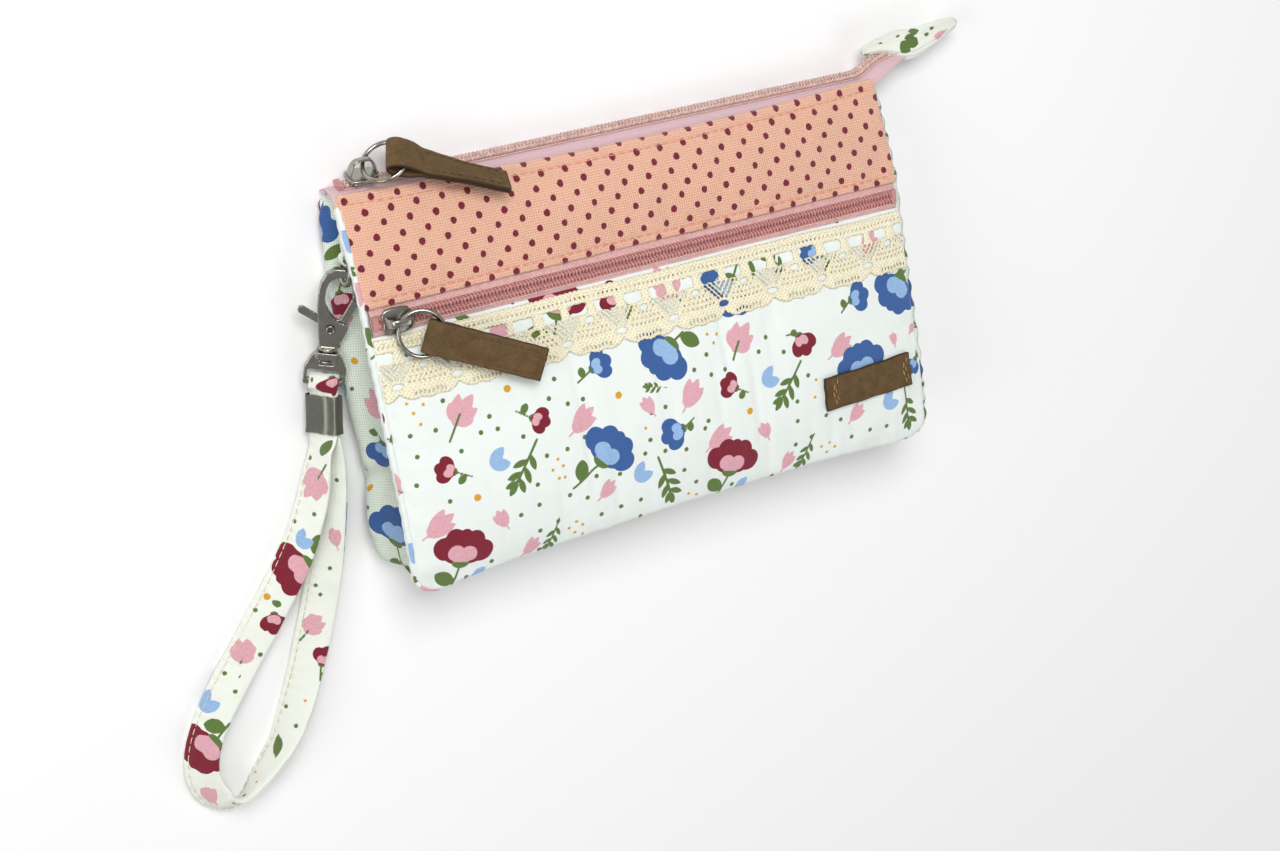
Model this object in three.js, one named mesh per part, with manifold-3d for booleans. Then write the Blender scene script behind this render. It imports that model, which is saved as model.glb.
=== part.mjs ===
// Wristlet wallet: a padded cotton pouch with a top zip, a front zip pocket,
// a lace trim, two ring-and-leather pulls and a wrist strap on a swivel clasp.
// Millimetres. The pouch lies on its back: +X is the pouch's width, +Y runs
// towards the top zip, +Z comes out of the front face, and z = 0 is the back
// face. The origin is the middle of the back face.
import * as THREE from 'three';
import { mergeVertices } from 'three/addons/utils/BufferGeometryUtils.js';
import Module from 'manifold-3d';

// ---------------------------------------------------------------- dimensions
const HALF_W = 103;            // half the pouch's width
const Y_BOTTOM = -66.5;        // bottom edge of the front panel
const FABRIC_T = 1.4;          // outer fabric with its padding
const ZIP_Y = 24;              // middle line of the front zip
const LOWER_TOP = 19.6;        // top edge of the lower front panel
const BAND_BOTTOM = 28.6;      // bottom edge of the dotted band
const TOP_ZIP_Z = 9.2;         // middle line of the top zip
const COIL_W = 1.7;            // one row of coil
const COIL_GAP = 0.8;          // clear between the two rows, for the slider's neck
const RING_R = 7.6;            // pull ring, centre line radius
const RING_WIRE = 0.8;         // pull ring, wire radius
const PULL_LEN = 42;           // leather pull, folded length
const PULL_W = 11.5;           // leather pull, width
const LEATHER_T = 1.35;        // one layer of leather
const STRAP_W = 12.5;          // wrist strap, width
const STRAP_T = 2.6;           // wrist strap, thickness of one branch
const HOOK_T = 3.4;            // clasp hook, thickness

const wasm = await Module();
wasm.setup();

const root = new THREE.Group();

// ------------------------------------------------------------------- colours
const mats = {
  print: [0xeef3ee, 0.9, 0], dotted: [0xf2b99c, 0.9, 0], lace: [0xefe4bf, 0.95, 0],
  tape: [0xe3b9b8, 0.85, 0], coil: [0xc98f8b, 0.5, 0], leather: [0x7a5c38, 0.75, 0],
  metal: [0xb9b9b2, 0.32, 0.95], lining: [0xe6e0d4, 0.95, 0],
};
const mat = (k) => new THREE.MeshStandardMaterial({ color: mats[k][0], roughness: mats[k][1], metalness: mats[k][2] });
const add = (name, geo, k, parent = root) => {
  const m = new THREE.Mesh(geo, mat(k));
  m.name = name;
  parent.add(m);
  return m;
};

// ------------------------------------------------------------------- helpers
const V = (x, y, z) => new THREE.Vector3(x, y, z);
const interp = (x, xs, ys) => {
  if (x <= xs[0]) return ys[0];
  for (let i = 1; i < xs.length; i++) {
    if (x <= xs[i]) return ys[i - 1] + (ys[i] - ys[i - 1]) * (x - xs[i - 1]) / (xs[i] - xs[i - 1]);
  }
  return ys[ys.length - 1];
};

// closed body between two point grids lo(i,j) and hi(i,j)
function skin(nu, nv, lo, hi) {
  const pos = [];
  for (const f of [lo, hi]) {
    for (let j = 0; j <= nv; j++) for (let i = 0; i <= nu; i++) pos.push(...f(i / nu, j / nv));
  }
  const n = (nu + 1) * (nv + 1);
  const id = (s, i, j) => s * n + j * (nu + 1) + i;
  const tri = [];
  const quad = (a, b, c, d) => tri.push(a, b, c, a, c, d);
  for (let j = 0; j < nv; j++) {
    for (let i = 0; i < nu; i++) {
      quad(id(1, i, j), id(1, i + 1, j), id(1, i + 1, j + 1), id(1, i, j + 1));
      quad(id(0, i, j), id(0, i, j + 1), id(0, i + 1, j + 1), id(0, i + 1, j));
    }
  }
  for (let i = 0; i < nu; i++) {
    quad(id(0, i, 0), id(0, i + 1, 0), id(1, i + 1, 0), id(1, i, 0));
    quad(id(0, i + 1, nv), id(0, i, nv), id(1, i, nv), id(1, i + 1, nv));
  }
  for (let j = 0; j < nv; j++) {
    quad(id(0, 0, j + 1), id(0, 0, j), id(1, 0, j), id(1, 0, j + 1));
    quad(id(0, nu, j), id(0, nu, j + 1), id(1, nu, j + 1), id(1, nu, j));
  }
  const g = new THREE.BufferGeometry();
  g.setAttribute('position', new THREE.Float32BufferAttribute(pos, 3));
  g.setIndex(tri);
  return g;
}

const toSolid = (geo) => {
  const g = geo.clone();
  g.deleteAttribute('normal');
  g.deleteAttribute('uv');
  const m = mergeVertices(g, 1e-4);
  return new wasm.Manifold(new wasm.Mesh({
    numProp: 3,
    vertProperties: new Float32Array(m.attributes.position.array),
    triVerts: new Uint32Array(m.index.array),
  }));
};
const toGeo = (solid) => {
  const m = solid.getMesh();
  const g = new THREE.BufferGeometry();
  g.setAttribute('position', new THREE.BufferAttribute(new Float32Array(m.vertProperties), 3));
  g.setIndex(new THREE.BufferAttribute(new Uint32Array(m.triVerts), 1));
  return g;
};
const box = (x0, x1, y0, y1, z0, z1) =>
  new THREE.BoxGeometry(x1 - x0, y1 - y0, z1 - z0).translate((x0 + x1) / 2, (y0 + y1) / 2, (z0 + z1) / 2);
const plate = (outline, z0, z1, holes = []) => {
  const s = new THREE.Shape(outline.map(([x, y]) => new THREE.Vector2(x, y)));
  for (const h of holes) s.holes.push(new THREE.Path(h.map(([x, y]) => new THREE.Vector2(x, y))));
  return new THREE.ExtrudeGeometry(s, { depth: z1 - z0, bevelEnabled: false }).translate(0, 0, z0);
};
const circle = (cx, cy, r, n = 14) =>
  Array.from({ length: n }, (_, i) => [cx + r * Math.cos(2 * Math.PI * i / n), cy + r * Math.sin(2 * Math.PI * i / n)]);
const frame = (o, x, y, z) => new THREE.Matrix4().makeBasis(x, y, z).setPosition(o);

// ------------------------------------------------------- the front's surface
const EY = [-66.5, -60, -45, -20, 0, 19, 24, 29, 45, 58, 65.5];
const EZ = [33.2, 34.2, 34.0, 31.2, 28.6, 26.4, 25.9, 25.4, 21.2, 17.2, 15.0];
const PY = [-66.5, -50, -25, 0, 15, 19.6, 28.6, 45, 58, 65.5];
const PZ = [0.8, 3.5, 5.2, 3.0, 0.3, 0, 0, 1.8, 1.2, 0.6];
const edgeZ = (y) => interp(y, EY, EZ);
const frontZ = (x, y) => edgeZ(y) + interp(y, PY, PZ) * (1 - Math.pow(Math.min(1, Math.abs(x) / HALF_W), 2.6));
const bandTop = (x) => 62.8 + 2.6 * (x / HALF_W) ** 2;
const sheet = (x0, x1, ya, yb, nu, nv, dLo, dHi) => {
  const p = (d) => (u, v) => {
    const x = x0 + (x1 - x0) * u;
    const y0 = typeof ya === 'function' ? ya(x) : ya;
    const y1 = typeof yb === 'function' ? yb(x) : yb;
    const y = y0 + (y1 - y0) * v;
    return [x, y, frontZ(x, y) + d];
  };
  return skin(nu, nv, p(dLo), p(dHi));
};

// -------------------------------------------------------------- front panels
add('front_lower_panel', sheet(-HALF_W, HALF_W, Y_BOTTOM, LOWER_TOP, 14, 9, -FABRIC_T, 0), 'print');
add('front_upper_band', sheet(-HALF_W, HALF_W, BAND_BOTTOM, bandTop, 14, 4, -FABRIC_T, 0), 'dotted');
add('lace_trim', sheet(-HALF_W + 0.5, HALF_W - 0.5, -1.6, LOWER_TOP - 0.2, 14, 3, 0.5, 1.3), 'lace');
add('leather_label', sheet(57.5, 96, -44.6, -32.2, 4, 2, 0.3, 1.7), 'leather');

// ----------------------------------------------------------- back and gussets
const backOutline = [[-104, -62], [-102.5, -65], [-99, -66.5], [99, -66.5], [102.5, -65], [104, -62],
  [104, 61], [102.5, 64.5], [98, 67], [-98, 67], [-102.5, 64.5], [-104, 61]];
add('back_panel', plate(backOutline, 0, 1.5), 'print');

// a side gusset bulges near the back and folds in behind the front seam
const gussetX = (y, t) => {
  const out = 4.2 * Math.sin(Math.PI * Math.min(1, t / 0.34));
  const inward = interp(y, [-60, -40, -10, 18, 48, 60], [2.5, 5.5, 4.0, 7.0, 7.0, 2.0]);
  return 103.6 + out * interp(y, [-64, -50, 40, 64], [0.6, 1, 1, 0.5]) - inward * Math.sin(Math.PI * Math.max(0, (t - 0.34) / 0.66));
};
for (const [name, s] of [['left_gusset', -1], ['right_gusset', 1]]) {
  const wall = (d) => (u, v) => {
    const y = s > 0 ? -64.4 + 128 * u : 63.6 - 128 * u;
    const z = 1.9 + (edgeZ(y) - FABRIC_T - 0.4 - 1.9) * v;
    return [s * (gussetX(y, v) - d), y, z];
  };
  add(name, skin(12, 8, wall(1.3), wall(0)), 'print');
}
const bottomWall = (d) => (u, v) => {
  const x = -102 + 204 * u;
  const z = 1.9 + (frontZ(x, Y_BOTTOM) - FABRIC_T - 0.45 - 1.9) * v;
  return [x, -66.4 - 2.2 * Math.sin(Math.PI * v) * (1 - (x / 104) ** 8) + d, z];
};
add('bottom_gusset', skin(8, 6, bottomWall(1.3), bottomWall(0)), 'print');

// -------------------------------------------------------------------- linings
const prism = (pts, x0, x1) => {
  const s = new THREE.Shape(pts.map(([y, z]) => new THREE.Vector2(y, z)));
  const g = new THREE.ExtrudeGeometry(s, { depth: x1 - x0, bevelEnabled: false });
  return g.applyMatrix4(new THREE.Matrix4().makeBasis(V(0, 1, 0), V(0, 0, 1), V(1, 0, 0))).translate(x0, 0, 0);
};
const mainOuter = toSolid(prism([[-62, 2.2], [60, 2.2], [60, 11.0], [30, 14.0], [-62, 21.0]], -93, 93));
const mainInner = toSolid(prism([[-61, 3.1], [61, 3.1], [61, 10.0], [30, 13.1], [-61, 20.0]], -92, 92));
add('main_lining', toGeo(mainOuter.subtract(mainInner)), 'lining');
const pocketOuter = toSolid(prism([[-62, 21.5], [34, 14.3], [34, 21.0], [16, 22.8], [-62, 30.4]], -93.5, 93.5));
const pocketInner = toSolid(prism([[-61, 22.3], [33, 15.3], [33, 20.1], [16, 21.9], [-61, 29.5]], -92.5, 92.5));
const pocketMouth = toSolid(box(-99, 99, 17.6, 30.6, 17.6, 30));
add('front_pocket_lining', toGeo(pocketOuter.subtract(pocketInner).subtract(pocketMouth)), 'lining');

// ------------------------------------------------------------------ front zip
const g2 = COIL_GAP / 2;
const strip = (ya, yb, dLo, dHi, x0 = -99, x1 = 99) => sheet(x0, x1, ya, yb, 1, 1, dLo, dHi);
add('front_tape_lower', strip(16, ZIP_Y - g2 - 0.1, -2.3, -1.8), 'tape');
add('front_tape_upper', strip(ZIP_Y + g2 + 0.1, 30.2, -2.3, -1.8), 'tape');
add('front_coil_lower', strip(ZIP_Y - g2 - COIL_W, ZIP_Y - g2, -1.4, 0.2, -99, 99), 'coil');
add('front_coil_upper', strip(ZIP_Y + g2, ZIP_Y + g2 + COIL_W, -1.4, 0.2, -99, 99), 'coil');
const fz = frontZ(0, ZIP_Y);
add('front_zip_stop_left', box(-101.3, -99.3, ZIP_Y - 2.4, ZIP_Y + 2.4, fz - 1.6, fz + 0.3), 'metal');
add('front_zip_stop_right', box(99.3, 101.3, ZIP_Y - 2.4, ZIP_Y + 2.4, fz - 1.6, fz + 0.3), 'metal');

// -------------------------------------------------------------------- top zip
// the strip leans back by TOP_LEAN; local y runs towards the front panel
const TOP_LEAN = THREE.MathUtils.degToRad(20);
const tOut = V(0, Math.cos(TOP_LEAN), Math.sin(TOP_LEAN));
const tFwd = V(0, -Math.sin(TOP_LEAN), Math.cos(TOP_LEAN));
const topZip = new THREE.Group();
topZip.applyMatrix4(new THREE.Matrix4().makeBasis(V(-1, 0, 0), tFwd, tOut).setPosition(0, 67.4, TOP_ZIP_Z));
root.add(topZip);
add('top_tape_front', box(-108, 100, g2 + 0.1, 4.4, -1.5, -1.0), 'tape', topZip);
add('top_tape_back', box(-108, 100, -6.4, -g2 - 0.1, -1.5, -1.0), 'tape', topZip);
add('top_coil_front', box(-108, 98.5, g2, g2 + COIL_W, -0.7, 0.75), 'coil', topZip);
add('top_coil_back', box(-108, 98.5, -g2 - COIL_W, -g2, -0.7, 0.75), 'coil', topZip);
add('top_zip_stop', box(98.8, 100.8, -2.4, 2.4, -0.7, 0.9), 'metal', topZip);
// folded fabric tab over the far end of the zip
const tabOutline = [[109, 60.8], [117, 58.8], [124, 62.5], [138, 70.5], [144, 76.5], [141, 81], [132, 80.5], [118, 76.5], [109, 73]];
add('top_zip_end_tab', plate(tabOutline, 5.4, 12.6), 'print');

// ------------------------------------------------------------------- sliders
// body: face plate, neck between the coil rows, back plate, and a bridge that
// the pull ring hangs on. Local: x along the zip, y across it, z outwards,
// z = 0 at the top of the coil.
function sliderBody(bridgeClear) {
  const face = [[-5.6, -2.6], [-4.4, -3.7], [0, -4.0], [4.0, -3.2], [5.4, -1.6], [5.4, 1.6], [4.0, 3.2], [0, 4.0], [-4.4, 3.7], [-5.6, 2.6]];
  const parts = [
    plate(face, 0.35, 1.5),
    plate(face.map(([x, y]) => [x, y * 0.95]), -4.2, -3.2),
    box(1.2, 3.4, -0.25, 0.25, -3.4, 0.6),
    box(-5.4, -4.2, -0.9, 0.9, 1.3, 1.5 + bridgeClear + 0.2),
    box(4.2, 5.2, -0.9, 0.9, 1.3, 1.5 + bridgeClear + 0.2),
    box(-5.4, 5.2, -0.9, 0.9, 1.5 + bridgeClear, 1.5 + bridgeClear + 1.1),
  ].map(toSolid);
  return toGeo(wasm.Manifold.union(parts));
}
const FRONT_SLIDER = V(-92.8, ZIP_Y, fz + 0.2);
const TOP_SLIDER = V(-91.5, 67.4, TOP_ZIP_Z).addScaledVector(tOut, 0.75);
const CLEAR = 3.3;
const TOP_CLEAR = 4.7;
{
  const m = add('front_slider_body', sliderBody(CLEAR), 'metal');
  m.position.copy(FRONT_SLIDER);
  const t = add('top_slider_body', sliderBody(TOP_CLEAR), 'metal');
  t.applyMatrix4(frame(TOP_SLIDER, V(1, 0, 0), tFwd.clone().negate(), tOut));
}

// ---------------------------------------------------------------------- pulls
const torus = (R, r, nr = 28, nt = 8) => new THREE.TorusGeometry(R, r, nt, nr);
// folded leather pull, local: x along it from the fold, y its thickness, z its width
function leatherPull() {
  const L = PULL_LEN;
  const t = LEATHER_T;
  const outer = [[0, 0], [0.5, -1.5], [2.2, -2.9], [5, -3.35], [8.2, -3.1], [12.5, -t - 0.05], [L, -t - 0.05], [L, t + 0.05], [12.5, t + 0.05], [8.2, 3.1], [5, 3.35], [2.2, 2.9], [0.5, 1.5]];
  const hole = [[1.5, 0], [1.9, 0.9], [3.0, 1.65], [5, 2.0], [8.0, 1.75], [11.6, 0.05], [11.6, -0.05], [8.0, -1.75], [5, -2.0], [3.0, -1.65], [1.9, -0.9]];
  return plate(outer, -PULL_W / 2, PULL_W / 2, [hole]);
}
const WIRE_IN_FOLD = 6.9;      // from the fold's end to the ring's wire
// front pull: the ring leans on the bridge and lies down to the right
const fDir = V(0.899, -0.438, 0).normalize();
const fAcross = V(0.438, 0.899, 0).normalize();
const fLift = THREE.MathUtils.degToRad(17);
const fRadial = fDir.clone().multiplyScalar(Math.cos(fLift)).add(V(0, 0, Math.sin(fLift)));
const fBridge = FRONT_SLIDER.clone().add(V(0.2, -0.2, 1.5 + 1.65));
const fCentre = fBridge.clone().add(fRadial.clone().multiplyScalar(7.33)).add(fAcross.clone().multiplyScalar(-2.0));
{
  const ring = add('front_pull_ring', torus(RING_R, RING_WIRE), 'metal');
  const nrm = new THREE.Vector3().crossVectors(fRadial, fAcross);
  ring.applyMatrix4(frame(fCentre, fRadial, fAcross, nrm));
}
const fWire = fCentre.clone().add(fRadial.clone().multiplyScalar(RING_R));
const fTabDir = fDir.clone().multiplyScalar(Math.cos(0.13)).add(V(0, 0, Math.sin(0.13)));
{
  const m = add('front_leather_pull', leatherPull(), 'leather');
  const up = new THREE.Vector3().crossVectors(fTabDir, fAcross);
  m.applyMatrix4(frame(fWire.clone().addScaledVector(fTabDir, -WIRE_IN_FOLD), fTabDir, up, fAcross.clone().negate()));
}
// top pull: the ring rises from the bridge, the leather falls over the band
const tBridge = TOP_SLIDER.clone().addScaledVector(tOut, 1.5 + TOP_CLEAR - 1.65);
const tWire = V(-79.6, 73.8, 18.9);
const tRadial = tWire.clone().sub(tBridge).normalize();
const tAcross = V(0.375, 0.65, -0.663);
tAcross.addScaledVector(tRadial, -tAcross.dot(tRadial)).normalize();
const tCentre = tBridge.clone().addScaledVector(tRadial, RING_R);
{
  const ring = add('top_pull_ring', torus(RING_R, RING_WIRE), 'metal');
  const nrm = new THREE.Vector3().crossVectors(tRadial, tAcross);
  ring.applyMatrix4(frame(tCentre, tRadial, tAcross, nrm));
}
const tWire2 = tBridge.clone().addScaledVector(tRadial, 2 * RING_R);
const tTabDir = V(0.905, -0.40, 0.11);
tTabDir.addScaledVector(tAcross, -tTabDir.dot(tAcross)).normalize();
{
  const m = add('top_leather_pull', leatherPull(), 'leather');
  const up = new THREE.Vector3().crossVectors(tTabDir, tAcross);
  const slack = -0.85 * Math.sign(tRadial.dot(up));
  m.applyMatrix4(frame(tWire2.clone().addScaledVector(tTabDir, -WIRE_IN_FOLD).addScaledVector(up, slack), tTabDir, up, tAcross.clone().negate()));
}

// ------------------------------------------------------- side ring and its tab
const SIDE_R = 4.2;
const sHinge = V(-102.9, 44.4, 14.2);
const sTilt = THREE.MathUtils.degToRad(13);
const sDown = V(-Math.sin(sTilt), -Math.cos(sTilt), 0);
const sCentre = sHinge.clone().addScaledVector(sDown, SIDE_R);
{
  const ring = add('side_ring', torus(SIDE_R, 0.75, 24, 8), 'metal');
  ring.applyMatrix4(frame(sCentre, sDown, V(0, 0, 1), new THREE.Vector3().crossVectors(sDown, V(0, 0, 1))));
  // a short ribbon loop round the ring's upper wire, sewn to the gusset
  const c = circle(0, 0, 2.5, 12);
  const hole = circle(0, 0, 1.5, 12);
  const loop = toSolid(plate(c, -1.6, 1.6, [hole]));
  const tail = toSolid(box(-0.6, 0.6, 1.9, 8.0, -1.6, 1.6));
  const m = add('side_ring_tab', toGeo(loop.add(tail).subtract(toSolid(plate(hole, -3, 3)))), 'print');
  m.position.copy(sHinge);
}

// ----------------------------------------------------------------- the clasp
// local: origin on the lever's rivet, y towards the ring, x to the right,
// z out of the clasp's face
const cO = V(-110.9, 21.95, 10.3);
const cY = V(0.224, 0.948, 0.177).normalize();
const cZ = V(-0.30, -0.05, 0.95);
cZ.addScaledVector(cY, -cZ.dot(cY)).normalize();
const cX = new THREE.Vector3().crossVectors(cY, cZ);
const clasp = new THREE.Group();
clasp.applyMatrix4(frame(cO, cX, cY, cZ));
root.add(clasp);
const H = HOOK_T / 2;
{
  const outer = [[-2.9, -6.6], [2.9, -6.6], [4.4, -3.2], [5.9, 0.9], [5.0, 2.2], [3.4, 2.4], [1.6, 3.1], [0.2, 4.3], [-1.2, 6.0],
    [-2.3, 8.0], [-2.8, 10.5], [-2.8, 13.6], [-2.0, 16.2], [0.1, 18.0], [2.2, 18.3], [4.2, 17.2], [5.5, 15.0], [5.9, 12.6], [5.9, 11.3],
    [8.3, 9.7], [8.4, 13.4], [7.7, 16.8], [5.6, 19.6], [2.6, 21.0], [-0.6, 20.8], [-3.4, 18.9], [-4.9, 15.6], [-5.2, 12.0], [-5.0, 6.8], [-4.2, 1.4], [-3.5, -3.5]];
  const body = toSolid(plate(outer, -H, H));
  const slot = toSolid(plate([[-8, 0.2], [-2.6, -2.9], [-2.4, -5.0], [2.4, -5.0], [4.0, -3.4], [8, -1.5], [9, 4.5], [2.0, 4.0], [-1, 8.6], [-8, 9.5]], -0.85, 0.85));
  const bore = toSolid(plate(circle(0, 0, 1.15, 14), -3, 3));
  const flange = toSolid(new THREE.CylinderGeometry(3.1, 3.1, 1.3, 16).translate(0, -7.2, 0));
  const post = toSolid(new THREE.CylinderGeometry(1.2, 1.2, 4.6, 12).translate(0, -9.6, 0));
  const head = toSolid(new THREE.CylinderGeometry(2.0, 2.0, 1.1, 12).translate(0, -12.0, 0));
  add('clasp_hook', toGeo(wasm.Manifold.union([body.subtract(slot).subtract(bore), flange, post, head])), 'metal', clasp);

  const lever = [[-2.2, -1.4], [0, -2.4], [2.0, -1.6], [4.6, 0.6], [7.9, 9.55], [7.3, 10.0], [6.0, 10.85], [3.0, 3.4], [0.6, 2.6], [-2.0, 3.0],
    [-9.6, 6.9], [-10.8, 6.6], [-11.3, 5.4], [-10.7, 4.3], [-4.0, 1.2]];
  add('clasp_lever', plate(lever, -0.5, 0.5, [circle(0, 0, 1.15, 14)]), 'metal', clasp);
  add('clasp_rivet', new THREE.LatheGeometry([[0, -2.3], [1.6, -2.3], [1.6, -H - 0.3], [0.8, -H - 0.3], [0.8, H + 0.3], [1.6, H + 0.3], [1.6, 2.3], [0, 2.3]]
    .map(([r, h]) => new THREE.Vector2(r, h)), 14).rotateX(Math.PI / 2), 'metal', clasp);
  add('clasp_spring', new THREE.LatheGeometry([[0.25, 0], [0.6, 0], [0.6, 1.9], [0.25, 1.9], [0.25, 0]].map(([r, h]) => new THREE.Vector2(r, h)), 10)
    .translate(-1.4, -4.7, 0), 'metal', clasp);
}
{
  // swivel base: a boss the post turns in, a stirrup and the strap's bar
  const stirrup = [[-3.4, -8.3], [3.4, -8.3], [5.2, -10.2], [6.9, -14.0], [6.9, -19.6], [6.4, -20.2], [-6.4, -20.2], [-6.9, -19.6], [-6.9, -14.0], [-5.2, -10.2]];
  const eye = [[-5.7, -18.3], [5.7, -18.3], [5.7, -14.9], [-5.7, -14.9]];
  const cell = [[-2.5, -13.0], [2.5, -13.0], [2.5, -10.9], [-2.5, -10.9]];
  const body = toSolid(plate(stirrup, -1.1, 1.1, [eye]));
  const boss = toSolid(box(-3.4, 3.4, -10.9, -8.3, -2.6, 2.6));
  const post = toSolid(new THREE.CylinderGeometry(1.55, 1.55, 6, 14).translate(0, -9.6, 0));
  add('clasp_swivel_base', toGeo(body.add(boss).subtract(post).subtract(toSolid(plate(cell, -3, 3)))), 'metal', clasp);
}

// ------------------------------------------------------------ strap and clamp
// a flat band follows points with a width direction: [x, y, z, wx, wy, wz]
function band(pts, width, thick) {
  const P = pts.map((p) => V(p[0], p[1], p[2]));
  const n = P.length;
  const rings = [];
  let prev = null;
  for (let i = 0; i < n; i++) {
    const t = P[Math.min(n - 1, i + 1)].clone().sub(P[Math.max(0, i - 1)]).normalize();
    const w = V(pts[i][3], pts[i][4], pts[i][5]);
    w.addScaledVector(t, -w.dot(t)).normalize();
    const nn = new THREE.Vector3().crossVectors(t, w);
    const W = (typeof width === 'function' ? width(i / (n - 1)) : width) / 2;
    const T = (typeof thick === 'function' ? thick(i / (n - 1)) : thick) / 2;
    const c = Math.min(0.5, T * 0.7);
    rings.push([[-W, -T + c], [-W + c, -T], [W - c, -T], [W, -T + c], [W, T - c], [W - c, T], [-W + c, T], [-W, T - c]]
      .map(([a, b]) => P[i].clone().addScaledVector(w, a).addScaledVector(nn, b)));
    prev = nn;
  }
  const pos = rings.flat().flatMap((p) => [p.x, p.y, p.z]);
  const tri = [];
  for (let i = 0; i < n - 1; i++) {
    for (let k = 0; k < 8; k++) {
      const a = i * 8 + k, b = i * 8 + (k + 1) % 8;
      tri.push(a, b + 8, b, a, a + 8, b + 8);
    }
  }
  for (let k = 1; k < 7; k++) {
    tri.push(0, k, k + 1);
    const o = (n - 1) * 8;
    tri.push(o, o + k + 1, o + k);
  }
  const g = new THREE.BufferGeometry();
  g.setAttribute('position', new THREE.Float32BufferAttribute(pos, 3));
  g.setIndex(tri);
  // turn the faces out if the sections run the other way
  const A = V(...pos.slice(0, 3));
  let vol = 0;
  for (let i = 0; i < tri.length; i += 3) {
    const [p, q, r] = [0, 1, 2].map((j) => V(...pos.slice(tri[i + j] * 3, tri[i + j] * 3 + 3)).sub(A));
    vol += p.dot(q.cross(r));
  }
  if (vol < 0) for (let i = 0; i < tri.length; i += 3) [tri[i + 1], tri[i + 2]] = [tri[i + 2], tri[i + 1]];
  g.setIndex(tri);
  return g;
}
const STRAP_END = V(-118.1, -13.6, 7.7);
const dC = V(-0.166, -0.985, 0.05).normalize();
const wC = V(0.58, -0.2, 0.79);
wC.addScaledVector(dC, -wC.dot(dC)).normalize();
const nC = new THREE.Vector3().crossVectors(dC, wC);
const ROUTE = [
  [-118.7, -10.6, 8.3, 0.25, -0.15, 0.96],
  [-119.1, -14.1, 7.9, 0.25, -0.15, 0.96],
  [-120.2, -18.5, 7.4, 0.32, -0.07, 0.95],
  [-122.0, -24.2, 7.2, 0.46, 0.12, 0.88],
  [-125.3, -34.5, 6.8, 0.58, -0.03, 0.81],
  [-130.0, -45.1, 6.4, 0.64, -0.17, 0.75],
  [-135.5, -54.9, 5.9, 0.67, -0.31, 0.67],
  [-141.2, -63.4, 5.0, 0.71, -0.46, 0.53],
  [-147.6, -72.2, 4.0, 0.74, -0.56, 0.38],
  [-155.5, -82.2, 3.6, 0.76, -0.57, 0.31],
  [-164.4, -92.7, 4.0, 0.79, -0.48, 0.37],
  [-172.2, -102.6, 4.8, 0.81, -0.29, 0.50],
  [-177.7, -111.9, 5.3, 0.82, -0.05, 0.57],
  [-180.1, -120.8, 5.2, 0.80, 0.20, 0.57],
  [-179.3, -128.1, 5.2, 0.72, 0.42, 0.56],
  [-176.7, -132.8, 5.5, 0.54, 0.58, 0.61],
  [-173.2, -135.5, 6.3, 0.33, 0.60, 0.73],
  [-168.9, -135.1, 7.2, 0.20, 0.44, 0.87],
  [-163.7, -131.1, 7.6, 0.23, 0.21, 0.95],
  [-157.7, -125.5, 7.5, 0.36, 0.03, 0.93],
  [-151.6, -119.4, 7.1, 0.51, -0.07, 0.86],
  [-146.1, -111.2, 6.3, 0.65, -0.15, 0.74],
  [-140.4, -100.4, 5.2, 0.79, -0.25, 0.57],
  [-134.8, -88.1, 4.2, 0.87, -0.30, 0.40],
  [-130.0, -75.8, 4.1, 0.89, -0.25, 0.39],
  [-126.1, -63.7, 5.0, 0.84, -0.11, 0.52],
  [-122.8, -51.3, 5.8, 0.75, 0.03, 0.66],
  [-119.6, -37.7, 6.4, 0.65, 0.13, 0.75],
  [-117.2, -24.5, 6.8, 0.53, 0.20, 0.82],
  [-116.6, -18.6, 6.9, 0.34, -0.05, 0.94],
  [-117.2, -14.1, 7.4, 0.25, -0.15, 0.96],
  [-117.0, -10.7, 7.9, 0.25, -0.15, 0.96],
];
ROUTE[0] = [...STRAP_END.clone().addScaledVector(dC, -3).addScaledVector(nC, 0.9).toArray(), ...wC.toArray()];
ROUTE[1] = [...STRAP_END.clone().addScaledVector(dC, 0.6).addScaledVector(nC, 0.95).toArray(), ...wC.toArray()];
ROUTE[ROUTE.length - 2] = [...STRAP_END.clone().addScaledVector(dC, 0.6).addScaledVector(nC, -0.95).toArray(), ...wC.toArray()];
ROUTE[ROUTE.length - 1] = [...STRAP_END.clone().addScaledVector(dC, -3).addScaledVector(nC, -0.9).toArray(), ...wC.toArray()];
const ends = (a, b) => (u) => { const k = Math.min(1, Math.min(u, 1 - u) / 0.09); return a + (b - a) * k * k * (3 - 2 * k); };
add('wrist_strap', band(ROUTE, ends(11.2, STRAP_W), ends(1.3, STRAP_T)), 'print');

const CLAMP_L = 12.8;
const clampMid = STRAP_END.clone().addScaledVector(dC, -CLAMP_L / 2);
{
  const s = toSolid(new THREE.BoxGeometry(13.1, 4.9, CLAMP_L)).subtract(toSolid(new THREE.BoxGeometry(12.3, 4.1, CLAMP_L + 2)));
  const m = add('strap_clamp', toGeo(s), 'metal');
  m.applyMatrix4(frame(clampMid, wC, nC, new THREE.Vector3().crossVectors(wC, nC)));
}
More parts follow.
